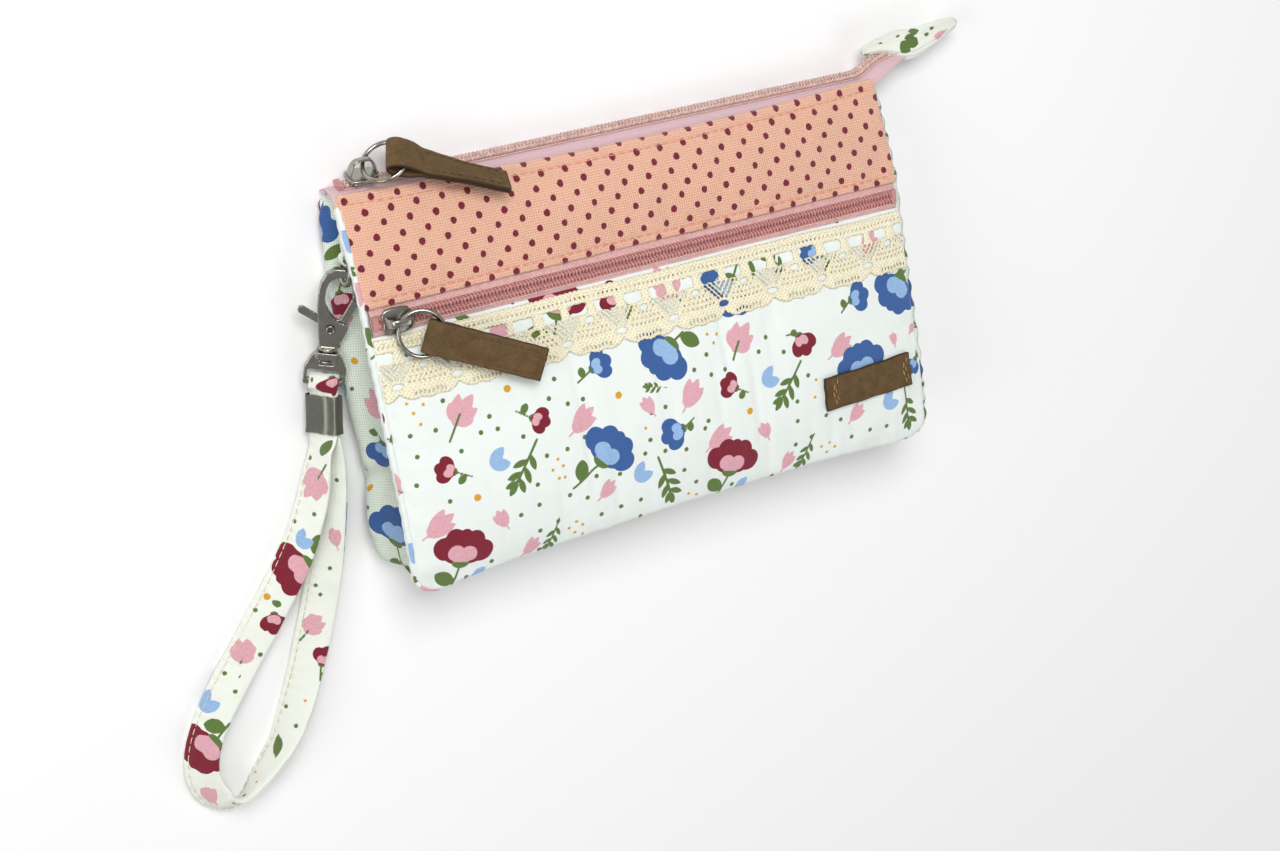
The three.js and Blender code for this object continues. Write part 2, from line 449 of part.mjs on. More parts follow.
// the strap's folded end round the base's bar
{
  const bar = cO.clone().addScaledVector(cY, -19.25);
  const top = STRAP_END.clone().addScaledVector(dC, -CLAMP_L);
  const pts = [];
  const leg = (side) => [top.clone().addScaledVector(dC, 3.4).addScaledVector(nC, side * 0.95), top.clone().addScaledVector(nC, side * 1.0)];
  const [a0, a1] = leg(1);
  const [b0, b1] = leg(-1);
  const R = 2.45;
  const eyeDown = cY.clone().negate();
  const arc = (deg) => {
    const a = THREE.MathUtils.degToRad(deg);
    return bar.clone().addScaledVector(cZ, R * Math.cos(a)).addScaledVector(cY, R * Math.sin(a));
  };
  const xs = cX.toArray();
  const mixW = (k) => wC.clone().multiplyScalar(1 - k).addScaledVector(cX, k).normalize().toArray();
  const below = (side) => bar.clone().addScaledVector(cZ, side * 2.35).addScaledVector(eyeDown, 1.7);
  const sideOf = nC.dot(cZ) > 0 ? 1 : -1;
  pts.push([...a0.toArray(), ...mixW(0)], [...a1.toArray(), ...mixW(0)], [...below(sideOf).toArray(), ...xs]);
  const sweep = [-5, 25, 58, 90, 122, 155, 185];
  for (const d of sideOf > 0 ? sweep : sweep.reverse()) pts.push([...arc(d).toArray(), ...xs]);
  pts.push([...below(-sideOf).toArray(), ...xs], [...b1.toArray(), ...mixW(0)], [...b0.toArray(), ...mixW(0)]);
  add('strap_neck', band(pts, 9.8, 1.0), 'print');
}

export default root;
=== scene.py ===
import math

import bmesh
import bpy
import numpy as np
from mathutils import Matrix, Vector


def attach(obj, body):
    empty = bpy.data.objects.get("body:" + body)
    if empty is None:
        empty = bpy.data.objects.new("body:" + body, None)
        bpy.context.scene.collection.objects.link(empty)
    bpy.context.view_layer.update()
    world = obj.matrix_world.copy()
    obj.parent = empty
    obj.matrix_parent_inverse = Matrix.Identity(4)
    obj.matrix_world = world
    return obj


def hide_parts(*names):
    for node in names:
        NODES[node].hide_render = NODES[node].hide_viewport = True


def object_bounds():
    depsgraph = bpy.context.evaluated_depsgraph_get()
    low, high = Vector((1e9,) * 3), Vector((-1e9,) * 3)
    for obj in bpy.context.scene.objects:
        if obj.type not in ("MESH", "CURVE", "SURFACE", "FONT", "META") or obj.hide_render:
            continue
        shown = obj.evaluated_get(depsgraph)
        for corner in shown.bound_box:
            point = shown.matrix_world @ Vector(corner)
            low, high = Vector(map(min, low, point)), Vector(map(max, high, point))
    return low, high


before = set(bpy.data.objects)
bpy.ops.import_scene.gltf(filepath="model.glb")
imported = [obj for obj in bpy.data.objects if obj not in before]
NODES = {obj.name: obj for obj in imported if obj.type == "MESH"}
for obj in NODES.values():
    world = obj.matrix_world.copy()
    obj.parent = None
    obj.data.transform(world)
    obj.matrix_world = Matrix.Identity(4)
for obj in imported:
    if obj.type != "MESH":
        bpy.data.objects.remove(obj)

CAD_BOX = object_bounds()
RNG = np.random.default_rng(7)

# Lengths in this script are millimetres in the row frame; meshes are written in metres.
HALF_W, LOWER_TOP, ZIP_Y, BAND_BOTTOM = 103.0, 19.6, 24.0, 28.6


# ------------------------------------------------------------ camera and light
def setup_camera():
    cam = bpy.data.cameras.new("cam")
    cam.lens, cam.sensor_width, cam.sensor_fit = 56.25, 36.0, "HORIZONTAL"
    cam.clip_start, cam.clip_end = 0.01, 20
    ob = bpy.data.objects.new("cam", cam)
    r, u, f = Vector((0.8823, -0.1103, 0.4577)), Vector((0.2516, 0.9322, -0.2603)), Vector((0.3979, -0.3448, -0.8502))
    f.normalize()
    r = (r - f * r.dot(f)).normalized()
    u = r.cross(f)
    m = Matrix((r, u, -f)).transposed().to_4x4()
    m.translation = Vector((-0.28989, 0.20658, 0.62147))
    ob.matrix_world = m
    bpy.context.scene.collection.objects.link(ob)
    bpy.context.scene.camera = ob


def area_light(name, loc, target, size, power, color=(1, 1, 1)):
    l = bpy.data.lights.new(name, "AREA")
    l.shape, l.size, l.size_y = "RECTANGLE", size, size
    l.energy, l.color = power, color
    o = bpy.data.objects.new(name, l)
    o.location = loc
    o.rotation_euler = (Vector(target) - Vector(loc)).to_track_quat("-Z", "Y").to_euler()
    bpy.context.scene.collection.objects.link(o)


def setup_light():
    w = bpy.data.worlds.new("studio")
    bpy.context.scene.world = w
    w.use_nodes = True
    bg = w.node_tree.nodes["Background"]
    bg.inputs["Color"].default_value = (1.0, 1.0, 1.0, 1)
    bg.inputs["Strength"].default_value = 0.34
    area_light("key", (-0.25, 0.62, 1.0), (0, 0, 0), 0.55, 9.5)
    area_light("fill", (0.8, -0.6, 0.9), (0, 0, 0), 0.9, 3.6)
    area_light("left", (-0.95, 0.0, 0.6), (-0.1, 0, 0.02), 0.5, 2.6)
    sc = bpy.context.scene
    sc.view_settings.view_transform = "Standard"
    sc.view_settings.look = "None"


# ---------------------------------------------------------------- mesh helpers
def make(name, verts, faces, mats, body="pouch", slot=None, replaces=(), smooth=True, face_mat=None, sharp_deg=None):
    """verts in mm; faces a list or int array of quads."""
    me = bpy.data.meshes.new(name)
    V = np.asarray(verts, float) * 0.001
    if isinstance(faces, np.ndarray):
        k = faces.shape[1]
        me.vertices.add(len(V))
        me.vertices.foreach_set("co", V.astype(np.float32).ravel())
        me.loops.add(faces.size)
        me.loops.foreach_set("vertex_index", faces.astype(np.int32).ravel())
        me.polygons.add(len(faces))
        me.polygons.foreach_set("loop_start", np.arange(0, faces.size, k, dtype=np.int32))
        me.update(calc_edges=True)
    else:
        me.from_pydata([tuple(p) for p in V], [], [tuple(int(i) for i in f) for f in faces])
    me.validate()
    for m in mats if isinstance(mats, (list, tuple)) else [mats]:
        me.materials.append(m)
    if face_mat is not None:
        me.polygons.foreach_set("material_index", np.asarray(face_mat, np.int32))
    me.polygons.foreach_set("use_smooth", np.full(len(me.polygons), smooth))
    ob = bpy.data.objects.new(name, me)
    bpy.context.scene.collection.objects.link(ob)
    if sharp_deg is not None:
        bm = bmesh.new()
        bm.from_mesh(me)
        for e in bm.edges:
            if len(e.link_faces) == 2 and e.calc_face_angle(0) > math.radians(sharp_deg):
                e.smooth = False
        bm.to_mesh(me)
        bm.free()
    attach(ob, body)
    if replaces:
        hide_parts(*replaces)
    return ob


def outward(ob):
    """Turns the faces out."""
    bm = bmesh.new()
    bm.from_mesh(ob.data)
    bmesh.ops.recalc_face_normals(bm, faces=bm.faces)
    bm.to_mesh(ob.data)
    bm.free()
    return ob


def attr(ob, name, data):
    data = np.asarray(data, np.float32)
    if data.ndim == 1:
        a = ob.data.attributes.new(name, "FLOAT", "POINT")
        a.data.foreach_set("value", data)
    else:
        if data.shape[1] == 2:
            data = np.hstack([data, np.zeros((len(data), 1), np.float32)])
        a = ob.data.attributes.new(name, "FLOAT_VECTOR", "POINT")
        a.data.foreach_set("vector", data.ravel())


def grid_faces(nu, nv, off=0, flip=False, wrap_u=False):
    """Quads of a (nv+1) x (nu+1) grid stored row by row; wrap_u closes it in u with nu columns."""
    cols = nu if wrap_u else nu + 1
    j, i = np.mgrid[0:nv, 0:nu]
    a = off + j * cols + i
    b = off + j * cols + (i + 1) % cols if wrap_u else a + 1
    c, d = b + cols, a + cols
    f = np.stack([a, b, c, d], -1).reshape(-1, 4)
    return f[:, ::-1] if flip else f


def slab(top, bottom, nu, nv, k=6):
    """Closed mesh: a fine top grid (nv+1, nu+1, 3), and a bottom that is fine only along its border.
    nu and nv are multiples of k. Returns verts, faces, number of top vertices."""
    V = [tuple(p) for p in top.reshape(-1, 3)]
    n0 = len(V)
    F = [tuple(f) for f in grid_faces(nu, nv).tolist()]
    mu, mv = nu // k, nv // k
    idx = {}

    def bid(i, j):
        if (i, j) not in idx:
            idx[(i, j)] = len(V)
            V.append(tuple(bottom[j, i]))
        return idx[(i, j)]

    t = lambda i, j: j * (nu + 1) + i
    ring = [(i, 0) for i in range(nu)] + [(nu, j) for j in range(nv)] + [(i, nv) for i in range(nu, 0, -1)] + [(0, j) for j in range(nv, 0, -1)]
    for q in range(len(ring)):
        (i, j), (i2, j2) = ring[q], ring[(q + 1) % len(ring)]
        F.append((t(i, j), bid(i, j), bid(i2, j2), t(i2, j2)))
    for J in range(mv):
        for I in range(mu):
            i0, i1, j0, j1 = I * k, I * k + k, J * k, J * k + k
            p = [(i0, j0)] + ([(i, j0) for i in range(i0 + 1, i1)] if J == 0 else []) + [(i1, j0)]
            p += ([(i1, j) for j in range(j0 + 1, j1)] if I == mu - 1 else []) + [(i1, j1)]
            p += ([(i, j1) for i in range(i1 - 1, i0, -1)] if J == mv - 1 else []) + [(i0, j1)]
            p += [(i0, j) for j in range(j1 - 1, j0, -1)] if I == 0 else []
            F.append(tuple(bid(i, j) for i, j in reversed(p)))
    return np.array(V), F, n0


def catmull(A, n, axis=0):
    """Resamples A along an axis to n points with a Catmull-Rom spline."""
    A = np.moveaxis(np.asarray(A, float), axis, 0)
    m = len(A)
    t = np.linspace(0, m - 1, n)
    i = np.clip(t.astype(int), 0, m - 2)
    f = (t - i).reshape((-1,) + (1,) * (A.ndim - 1))
    g = lambda q: A[np.clip(q, 0, m - 1)]
    p0, p1, p2, p3 = g(i - 1), g(i), g(i + 1), g(i + 2)
    r = 0.5 * ((2 * p1) + (-p0 + p2) * f + (2 * p0 - 5 * p1 + 4 * p2 - p3) * f * f + (-p0 + 3 * p1 - 3 * p2 + p3) * f ** 3)
    return np.moveaxis(r, 0, axis)


def spline_xy(xs, ys):
    """Smooth curve through (xs, ys): monotone cubic, as a function of x."""
    xs, ys = np.array(xs, float), np.array(ys, float)
    h = np.diff(xs)
    dl = np.diff(ys) / h
    m = np.zeros(len(xs))
    for i in range(1, len(xs) - 1):
        if dl[i - 1] * dl[i] > 0:
            w1, w2 = 2 * h[i] + h[i - 1], h[i] + 2 * h[i - 1]
            m[i] = (w1 + w2) / (w1 / dl[i - 1] + w2 / dl[i])
    m[0], m[-1] = dl[0], dl[-1]

    def f(x):
        x = np.asarray(x, float)
        i = np.clip(np.searchsorted(xs, x) - 1, 0, len(xs) - 2)
        t = (x - xs[i]) / h[i]
        tc = np.clip(t, 0, 1)
        r = (1 + 2 * tc) * (1 - tc) ** 2 * ys[i] + tc * (1 - tc) ** 2 * h[i] * m[i] + tc ** 2 * (3 - 2 * tc) * ys[i + 1] + tc ** 2 * (tc - 1) * h[i] * m[i + 1]
        return r + (t - tc) * h[i] * np.where(t > 1, m[np.minimum(i + 1, len(xs) - 1)], m[i])

    return f


def smoothstep(a, b, x):
    t = np.clip((x - a) / (b - a), 0, 1)
    return t * t * (3 - 2 * t)


_noise_dirs = RNG.normal(size=(24, 2))
_noise_ph = RNG.uniform(0, 2 * np.pi, 24)


def bumps(x, y, scale, seed=0):
    """Smooth pseudo-random height, about -1..1, features about scale mm across."""
    r = 0
    for q in range(8):
        d = _noise_dirs[(q + seed * 5) % 24]
        d = d / np.linalg.norm(d) * (0.6 + 0.13 * q) * 2.6 / scale
        r = r + np.sin(d[0] * x + d[1] * y + _noise_ph[(q * 3 + seed * 7) % 24])
    return r / 3.2


def sweep(name, P, W, N, half_w, half_t, mats, body, n=14, power=4.0, caps=True, **kw):
    """Rounded flat bar: centre line P, width direction W, thickness direction N; half_w, half_t numbers or arrays."""
    P, W, N = map(np.asarray, (P, W, N))
    a = np.linspace(0, 2 * np.pi, n, endpoint=False)
    ca, sa = np.cos(a), np.sin(a)
    ex = np.sign(ca) * np.abs(ca) ** (2 / power)
    ey = np.sign(sa) * np.abs(sa) ** (2 / power)
    hw = np.broadcast_to(np.asarray(half_w, float), (len(P),))
    ht = np.broadcast_to(np.asarray(half_t, float), (len(P),))
    R = P[:, None] + W[:, None] * (hw[:, None] * ex)[..., None] + N[:, None] * (ht[:, None] * ey)[..., None]
    V = R.reshape(-1, 3)
    F = grid_faces(n, len(P) - 1, wrap_u=True).tolist()
    if caps:
        F.append(list(range(n))[::-1])
        F.append(list(range((len(P) - 1) * n, len(P) * n)))
    ob = make(name, V, F, mats, body, **kw)
    return outward(ob)


def tube(name, P, r, mats, body, n=10, closed=False, **kw):
    """Round tube along P (mm)."""
    P = np.asarray(P, float)
    m = len(P)
    T = (np.roll(P, -1, 0) - np.roll(P, 1, 0)) if closed else np.gradient(P, axis=0)
    T /= np.linalg.norm(T, axis=1)[:, None]
    u = np.cross(T[0], [0.31, 0.17, 0.93])
    u /= np.linalg.norm(u)
    U = []
    for t in T:
        u = u - t * u.dot(t)
        u /= np.linalg.norm(u)
        U.append(u.copy())
    U = np.array(U)
    if closed:
        # spread the leftover twist
        e = np.cross(T[0], U[0])
        last = U[-1] - T[0] * U[-1].dot(T[0])
        ang = math.atan2(last.dot(e), last.dot(U[0]))
        for i in range(m):
            q = -ang * i / m
            b = np.cross(T[i], U[i])
            U[i] = U[i] * math.cos(q) + b * math.sin(q)
    B = np.cross(T, U)
    a = np.linspace(0, 2 * np.pi, n, endpoint=False)
    rr = np.broadcast_to(np.asarray(r, float), (m,))
    R = P[:, None] + (U[:, None] * np.cos(a)[None, :, None] + B[:, None] * np.sin(a)[None, :, None]) * rr[:, None, None]
    V = R.reshape(-1, 3)
    F = grid_faces(n, m - 1, wrap_u=True).tolist()
    if closed:
        o = (m - 1) * n
        F += [[o + i, o + (i + 1) % n, (i + 1) % n, i] for i in range(n)]
    else:
        F.append(list(range(n))[::-1])
        F.append(list(range((m - 1) * n, m * n)))
    return V, F


def tube_obj(name, P, r, mats, body, n=10, closed=False, **kw):
    V, F = tube(name, P, r, mats, body, n, closed)
    return outward(make(name, V, F, mats, body, **kw))


def join_geo(parts):
    V, F, o = [], [], 0
    for v, f in parts:
        V.append(np.asarray(v, float))
        F += [[int(i) + o for i in q] for q in f]
        o += len(v)
    return np.vstack(V), F


def stitch_geo(points, normals, length=2.5, gap=0.9, r=0.22, sink=0.35, start=0.4):
    """Thread segments along a line of points (mm) lying on a surface with the given normals."""
    P = np.asarray(points, float)
    N = np.broadcast_to(np.asarray(normals, float), P.shape)
    s = np.concatenate([[0], np.cumsum(np.linalg.norm(np.diff(P, axis=0), axis=1))])
    out = []
    a = start
    at = lambda q, A: np.array([np.interp(q, s, A[:, k]) for k in range(3)])
    while a + length < s[-1]:
        q = np.linspace(0, 1, 7)
        c = np.array([at(a + length * t, P) for t in q])
        nn = np.array([at(a + length * t, N) for t in q])
        lift = r * (1.15 * np.sin(np.pi * q) ** 0.5 - sink * 1.3)
        c = c + nn * lift[:, None]
        rr = r * (0.35 + 0.65 * np.sin(np.pi * np.clip(q, 0.06, 0.94)) ** 0.5)
        out.append(tube("", c, rr, None, None, n=6))
        a += length + gap
    return join_geo(out)


# -------------------------------------------------------------------- materials
def srgb(h):
    c = [int(h[i:i + 2], 16) / 255 for i in (0, 2, 4)]
    return tuple(x / 12.92 if x <= 0.04045 else ((x + 0.055) / 1.055) ** 2.4 for x in c) + (1,)


class Mat:
    """Small helper that builds a node material."""

    def __init__(self, name, rough=0.8, metal=0.0, sheen=0.0, spec=0.5, coat=0.0):
        self.m = bpy.data.materials.new(name)
        self.m.use_nodes = True
        self.t = self.m.node_tree
        self.b = self.t.nodes["Principled BSDF"]
        self.b.inputs["Roughness"].default_value = rough
        self.b.inputs["Metallic"].default_value = metal
        self.b.inputs["Specular IOR Level"].default_value = spec
        if sheen:
            self.b.inputs["Sheen Weight"].default_value = sheen
            self.b.inputs["Sheen Roughness"].default_value = 0.5
        if coat:
            self.b.inputs["Coat Weight"].default_value = coat
            self.b.inputs["Coat Roughness"].default_value = 0.25

    def n(self, kind, **kw):
        nd = self.t.nodes.new(kind)
        for k, v in kw.items():
            setattr(nd, k, v)
        return nd

    def put(self, sock, v):
        if isinstance(v, bpy.types.NodeSocket):
            self.t.links.new(v, sock)
        elif v is not None:
            sock.default_value = v

    def math(self, op, a, b=None, c=None, clamp=False):
        nd = self.n("ShaderNodeMath", operation=op, use_clamp=clamp)
        for i, v in enumerate((a, b, c)):
            self.put(nd.inputs[i], v)
        return nd.outputs[0]

    def mix(self, fac, a, b, mode="MIX"):
        nd = self.n("ShaderNodeMix", data_type="RGBA", blend_type=mode)
        self.put(nd.inputs[0], fac)
        self.put(nd.inputs[6], a)
        self.put(nd.inputs[7], b)
        return nd.outputs[2]

    def attr(self, name, vec=False):
        nd = self.n("ShaderNodeAttribute", attribute_name=name)
        return nd.outputs["Vector" if vec else "Fac"]

    def obj(self):
        return self.n("ShaderNodeTexCoord").outputs["Object"]

    def noise(self, vec, scale, detail=3.0, rough=0.55):
        nd = self.n("ShaderNodeTexNoise")
        self.put(nd.inputs["Vector"], vec)
        nd.inputs["Scale"].default_value = scale
        nd.inputs["Detail"].default_value = detail
        nd.inputs["Roughness"].default_value = rough
        return nd.outputs["Fac"]

    def ramp(self, v, a, b, lo=0.0, hi=1.0):
        nd = self.n("ShaderNodeMapRange")
        self.put(nd.inputs["Value"], v)
        nd.inputs["From Min"].default_value, nd.inputs["From Max"].default_value = a, b
        nd.inputs["To Min"].default_value, nd.inputs["To Max"].default_value = lo, hi
        return nd.outputs[0]

    def xyz(self, vec):
        nd = self.n("ShaderNodeSeparateXYZ")
        self.put(nd.inputs[0], vec)
        return nd.outputs

    def bump(self, h, dist, strength=1.0):
        nd = self.n("ShaderNodeBump")
        nd.inputs["Distance"].default_value = dist
        nd.inputs["Strength"].default_value = strength
        self.put(nd.inputs["Height"], h)
        self.t.links.new(nd.outputs[0], self.b.inputs["Normal"])

    def weave(self, uv, pitch, jitter=0.25):
        """Height 0..1 of a plain weave over cloth coordinates in mm."""
        x, y, _ = self.xyz(uv)
        w = self.noise(uv, 0.9, 2.0)
        x = self.math("ADD", x, self.math("MULTIPLY", w, jitter))
        y = self.math("ADD", y, self.math("MULTIPLY", w, jitter))
        u, v = self.math("DIVIDE", x, pitch), self.math("DIVIDE", y, pitch)
        su = self.math("ABSOLUTE", self.math("SINE", self.math("MULTIPLY", u, math.pi)))
        sv = self.math("ABSOLUTE", self.math("SINE", self.math("MULTIPLY", v, math.pi)))
        chk = self.math("MULTIPLY", self.math("SINE", self.math("MULTIPLY", u, math.pi)), self.math("SINE", self.math("MULTIPLY", v, math.pi)))
        chk = self.ramp(chk, -0.35, 0.35)
        a = self.math("MULTIPLY", su, chk)
        b = self.math("MULTIPLY", sv, self.math("SUBTRACT", 1.0, chk))
        return self.math("ADD", a, b)


COL = {
    "ground": srgb("F2F8F4"), "ground2": srgb("F7FAEF"), "ground3": srgb("EBF4E6"), "green": srgb("64803F"), "ltblue": srgb("9FC4EE"), "pink": srgb("EDB3BE"), "maroon": srgb("861D31"),
    "blue": srgb("3C65A6"), "orange": srgb("E8AA2C"), "peach": srgb("F5C3A8"), "dot": srgb("741528"), "lace": srgb("F6E9C6"),
    "tape": srgb("E6ACA0"), "tape2": srgb("EBC8CE"), "coil": srgb("CB8B87"), "coil2": srgb("CDB0A8"), "leather": srgb("7B5F3F"),
    "rawedge": srgb("3E2D1F"), "thread": srgb("9A5B28"), "metal": srgb("B9B8B2"), "lining": srgb("ECE7DC"), "peachthread": srgb("F0937B"),
    "creamthread": srgb("EFE3C2"),
}
LAYERS = [("green", "green"), ("ltblue", "ltblue"), ("pink", "pink"), ("maroon", "maroon"), ("blue", "blue"), ("pink2", "pink"), ("ltblue2", "ltblue"), ("green2", "green"), ("orange", "orange")]


def print_material(name, pitch=0.42, shade=1.0, weave_strength=0.35, ground="ground", weave_shade_depth=0.0):
    # shade multiplies every colour of the cloth; below 1 it is painted shade.
    m = Mat(name, rough=0.86, sheen=0.25, spec=0.25)
    uv = m.attr("cuv", True)
    w = m.weave(uv, pitch)
    edge = m.math("MULTIPLY", m.math("SUBTRACT", m.noise(uv, 2.6, 2.0), 0.5), 0.22)
    g = COL[ground]
    blot = m.noise(uv, 0.06, 3.0)
    base = m.mix(m.ramp(blot, 0.3, 0.7), tuple(c * 0.965 * shade for c in g[:3]) + (1,), tuple(c * shade for c in g[:3]) + (1,))
    col = base
    for key, c in LAYERS:
        sd = m.math("ADD", m.attr("sd_" + key), edge)
        mask = m.ramp(sd, 0.09, -0.09)
        cc = tuple(x * shade for x in COL[c][:3]) + (1,)
        dark = tuple(x * 0.84 * shade for x in COL[c][:3]) + (1,)
        ink = m.mix(m.ramp(m.noise(uv, 1.1, 3.0), 0.35, 0.7), dark, cc)
        col = m.mix(mask, col, ink)
    # Colour darker between the threads of the weave: painted shade in the weave's hollows, deeper on the coarser
    # cloths.
    thread = m.ramp(w, 0.0, 1.0, 1.0 - 0.16 - weave_shade_depth, 1.0)
    col = m.mix(1.0, col, thread, "MULTIPLY")
    m.put(m.b.inputs["Base Color"], col)
    h = m.math("ADD", m.math("MULTIPLY", w, weave_strength), m.math("MULTIPLY", m.noise(uv, 0.35, 4.0), 0.5))
    m.bump(h, 0.00022, 0.8)
    return m.m


def dotted_material():
    m = Mat("dotted_cotton", rough=0.88, sheen=0.3, spec=0.22)
    uv = m.attr("cuv", True)
    w = m.weave(uv, 0.86, 0.35)
    edge = m.math("MULTIPLY", m.math("SUBTRACT", m.noise(uv, 2.4, 2.0), 0.5), 0.3)
    mask = m.ramp(m.math("ADD", m.attr("sd_dot"), edge), 0.1, -0.1)
    blot = m.ramp(m.noise(uv, 0.05, 3.0), 0.3, 0.7)
    p = COL["peach"]
    base = m.mix(blot, tuple(c * 0.95 for c in p[:3]) + (1,), p)
    # Darker peach between the threads: painted shade in the weave's hollows.
    base = m.mix(m.ramp(w, 0.0, 0.8, 0.8, 0.0), base, srgb("D08E74"))
    dot = m.mix(m.ramp(m.noise(uv, 1.6, 3.0), 0.35, 0.7), srgb("6A1529"), srgb("8C2138"))
    m.put(m.b.inputs["Base Color"], m.mix(mask, base, dot))
    h = m.math("ADD", m.math("MULTIPLY", w, 1.0), m.math("MULTIPLY", m.noise(uv, 0.4, 4.0), 0.5))
    m.bump(h, 0.0003, 1.0)
    return m.m


def tape_material(name, col, col2, rib=0.55):
    m = Mat(name, rough=0.8, sheen=0.2, spec=0.3)
    uv = m.attr("cuv", True)
    x, y, _ = m.xyz(uv)
    tw = m.math("SINE", m.math("MULTIPLY", m.math("ADD", x, m.math("MULTIPLY", m.math("ABSOLUTE", m.math("SINE", m.math("MULTIPLY", y, math.pi / 1.3))), 0.35)), 2 * math.pi / rib))
    rows = m.math("SINE", m.math("MULTIPLY", y, 2 * math.pi / 0.7))
    h = m.math("ADD", m.math("MULTIPLY", tw, 0.5), m.math("MULTIPLY", rows, 0.35))
    n = m.noise(uv, 0.5, 3.0)
    c = m.mix(m.ramp(n, 0.3, 0.7), COL[col], COL[col2])
    # Darker where the ribs are low: painted shade in the tape's hollows.
    c = m.mix(m.ramp(h, -0.7, 0.7, 0.28, 0.0), c, tuple(v * 0.62 for v in COL[col][:3]) + (1,))
    m.put(m.b.inputs["Base Color"], c)
    m.bump(h, 0.00016, 0.9)
    return m.m


def thread_material(name, col, dark=0.72):
    m = Mat(name, rough=0.6, sheen=0.2, spec=0.4)
    o = m.obj()
    n = m.noise(o, 1600, 2.0)
    m.put(m.b.inputs["Base Color"], m.mix(m.ramp(n, 0.35, 0.65), tuple(v * dark for v in col[:3]) + (1,), col))
    m.bump(m.noise(o, 2600, 1.0), 0.0001, 0.6)
    return m.m


def coil_material(name, light, dark):
    m = Mat(name, rough=0.42, spec=0.5)
    o = m.obj()
    m.put(m.b.inputs["Base Color"], m.mix(m.ramp(m.noise(o, 700, 2.0), 0.3, 0.7), dark, light))
    m.bump(m.noise(o, 2500, 1.0), 0.00006, 0.5)
    return m.m


def lace_material():
    m = Mat("cotton_lace", rough=0.92, sheen=0.4, spec=0.15)
    uv = m.attr("cuv", True)
    rel = m.attr("relief")
    x, y, _ = m.xyz(uv)
    strand = m.math("SINE", m.math("MULTIPLY", m.math("ADD", x, m.math("MULTIPLY", y, 0.8)), 2 * math.pi / 1.5))
    strand2 = m.math("SINE", m.math("MULTIPLY", m.math("SUBTRACT", x, m.math("MULTIPLY", y, 0.9)), 2 * math.pi / 1.6))
    h = m.math("ADD", m.math("MULTIPLY", strand, 0.5), m.math("MULTIPLY", strand2, 0.5))
    fine = m.math("SINE", m.math("MULTIPLY", m.math("ADD", m.math("MULTIPLY", x, 1.3), y), 2 * math.pi / 0.6))
    c = m.mix(m.ramp(m.noise(uv, 0.5, 3.0), 0.3, 0.7), srgb("FFF5D0"), srgb("FFFCE6"))
    # Darker at low relief, on the lace's rims and underside: painted shade.
    c = m.mix(m.ramp(rel, -0.35, 0.0, 0.3, 0.0), c, srgb("DCC999"))
    # Darker in the hollows between the strands: painted shade.
    c = m.mix(m.ramp(h, -1.0, -0.45, 0.75, 0.0), c, srgb("C6B27E"))
    m.put(m.b.inputs["Base Color"], c)
    m.bump(m.math("ADD", m.math("ADD", h, m.math("MULTIPLY", fine, 0.15)), m.math("MULTIPLY", m.noise(uv, 1.6, 2.0), 0.8)), 0.0003, 0.8)
    return m.m


def leather_material(name, col, col2, rough=0.78):
    m = Mat(name, rough=rough, spec=0.3)
    o = m.obj()
    n1 = m.noise(o, 240, 4.0, 0.6)
    n2 = m.noise(o, 2200, 3.0, 0.7)
    v = m.n("ShaderNodeTexVoronoi", feature="DISTANCE_TO_EDGE")
    m.put(v.inputs["Vector"], o)
    v.inputs["Scale"].default_value = 1500
    pores = m.ramp(v.outputs["Distance"], 0.0, 0.28)
    c = m.mix(m.ramp(n1, 0.32, 0.68), col, col2)
    c = m.mix(m.ramp(n2, 0.35, 0.62, 0.45, 0.0), c, tuple(x * 0.55 for x in col[:3]) + (1,))
    m.put(m.b.inputs["Base Color"], c)
    m.put(m.b.inputs["Roughness"], m.ramp(n2, 0.3, 0.7, rough + 0.1, rough - 0.12))
    m.bump(m.math("ADD", m.math("MULTIPLY", pores, 0.5), m.math("MULTIPLY", n2, 0.9)), 0.00018, 0.8)
    return m.m


def metal_material(name, col, rough=0.3):
    m = Mat(name, rough=rough, metal=1.0)
    o = m.obj()
    n1 = m.noise(o, 320, 4.0, 0.6)
    n2 = m.noise(o, 2600, 2.0, 0.6)
    m.put(m.b.inputs["Base Color"], m.mix(m.ramp(n1, 0.3, 0.7), tuple(x * 0.93 for x in col[:3]) + (1,), col))
    m.put(m.b.inputs["Roughness"], m.math("ADD", m.ramp(n1, 0.3, 0.7, rough - 0.03, rough + 0.04), m.ramp(n2, 0.3, 0.7, -0.02, 0.02)))
    m.bump(m.math("ADD", n1, m.math("MULTIPLY", n2, 0.25)), 0.00002, 0.35)
    return m.m


def lining_material():
    m = Mat("lining_cotton", rough=0.9, sheen=0.2, spec=0.2)
    o = m.obj()
    vs = m.n("ShaderNodeVectorMath", operation="SCALE")
    m.put(vs.inputs[0], o)
    vs.inputs["Scale"].default_value = 1000
    w = m.weave(vs.outputs[0], 0.5)
    # Darker between the threads: painted shade in the weave's hollows.
    m.put(m.b.inputs["Base Color"], m.mix(m.ramp(w, 0, 1, 0.25, 0.0), COL["lining"], srgb("CFC8B8")))
    m.bump(w, 0.0002, 0.7)
    return m.m


M_PRINT = print_material("printed_cotton")
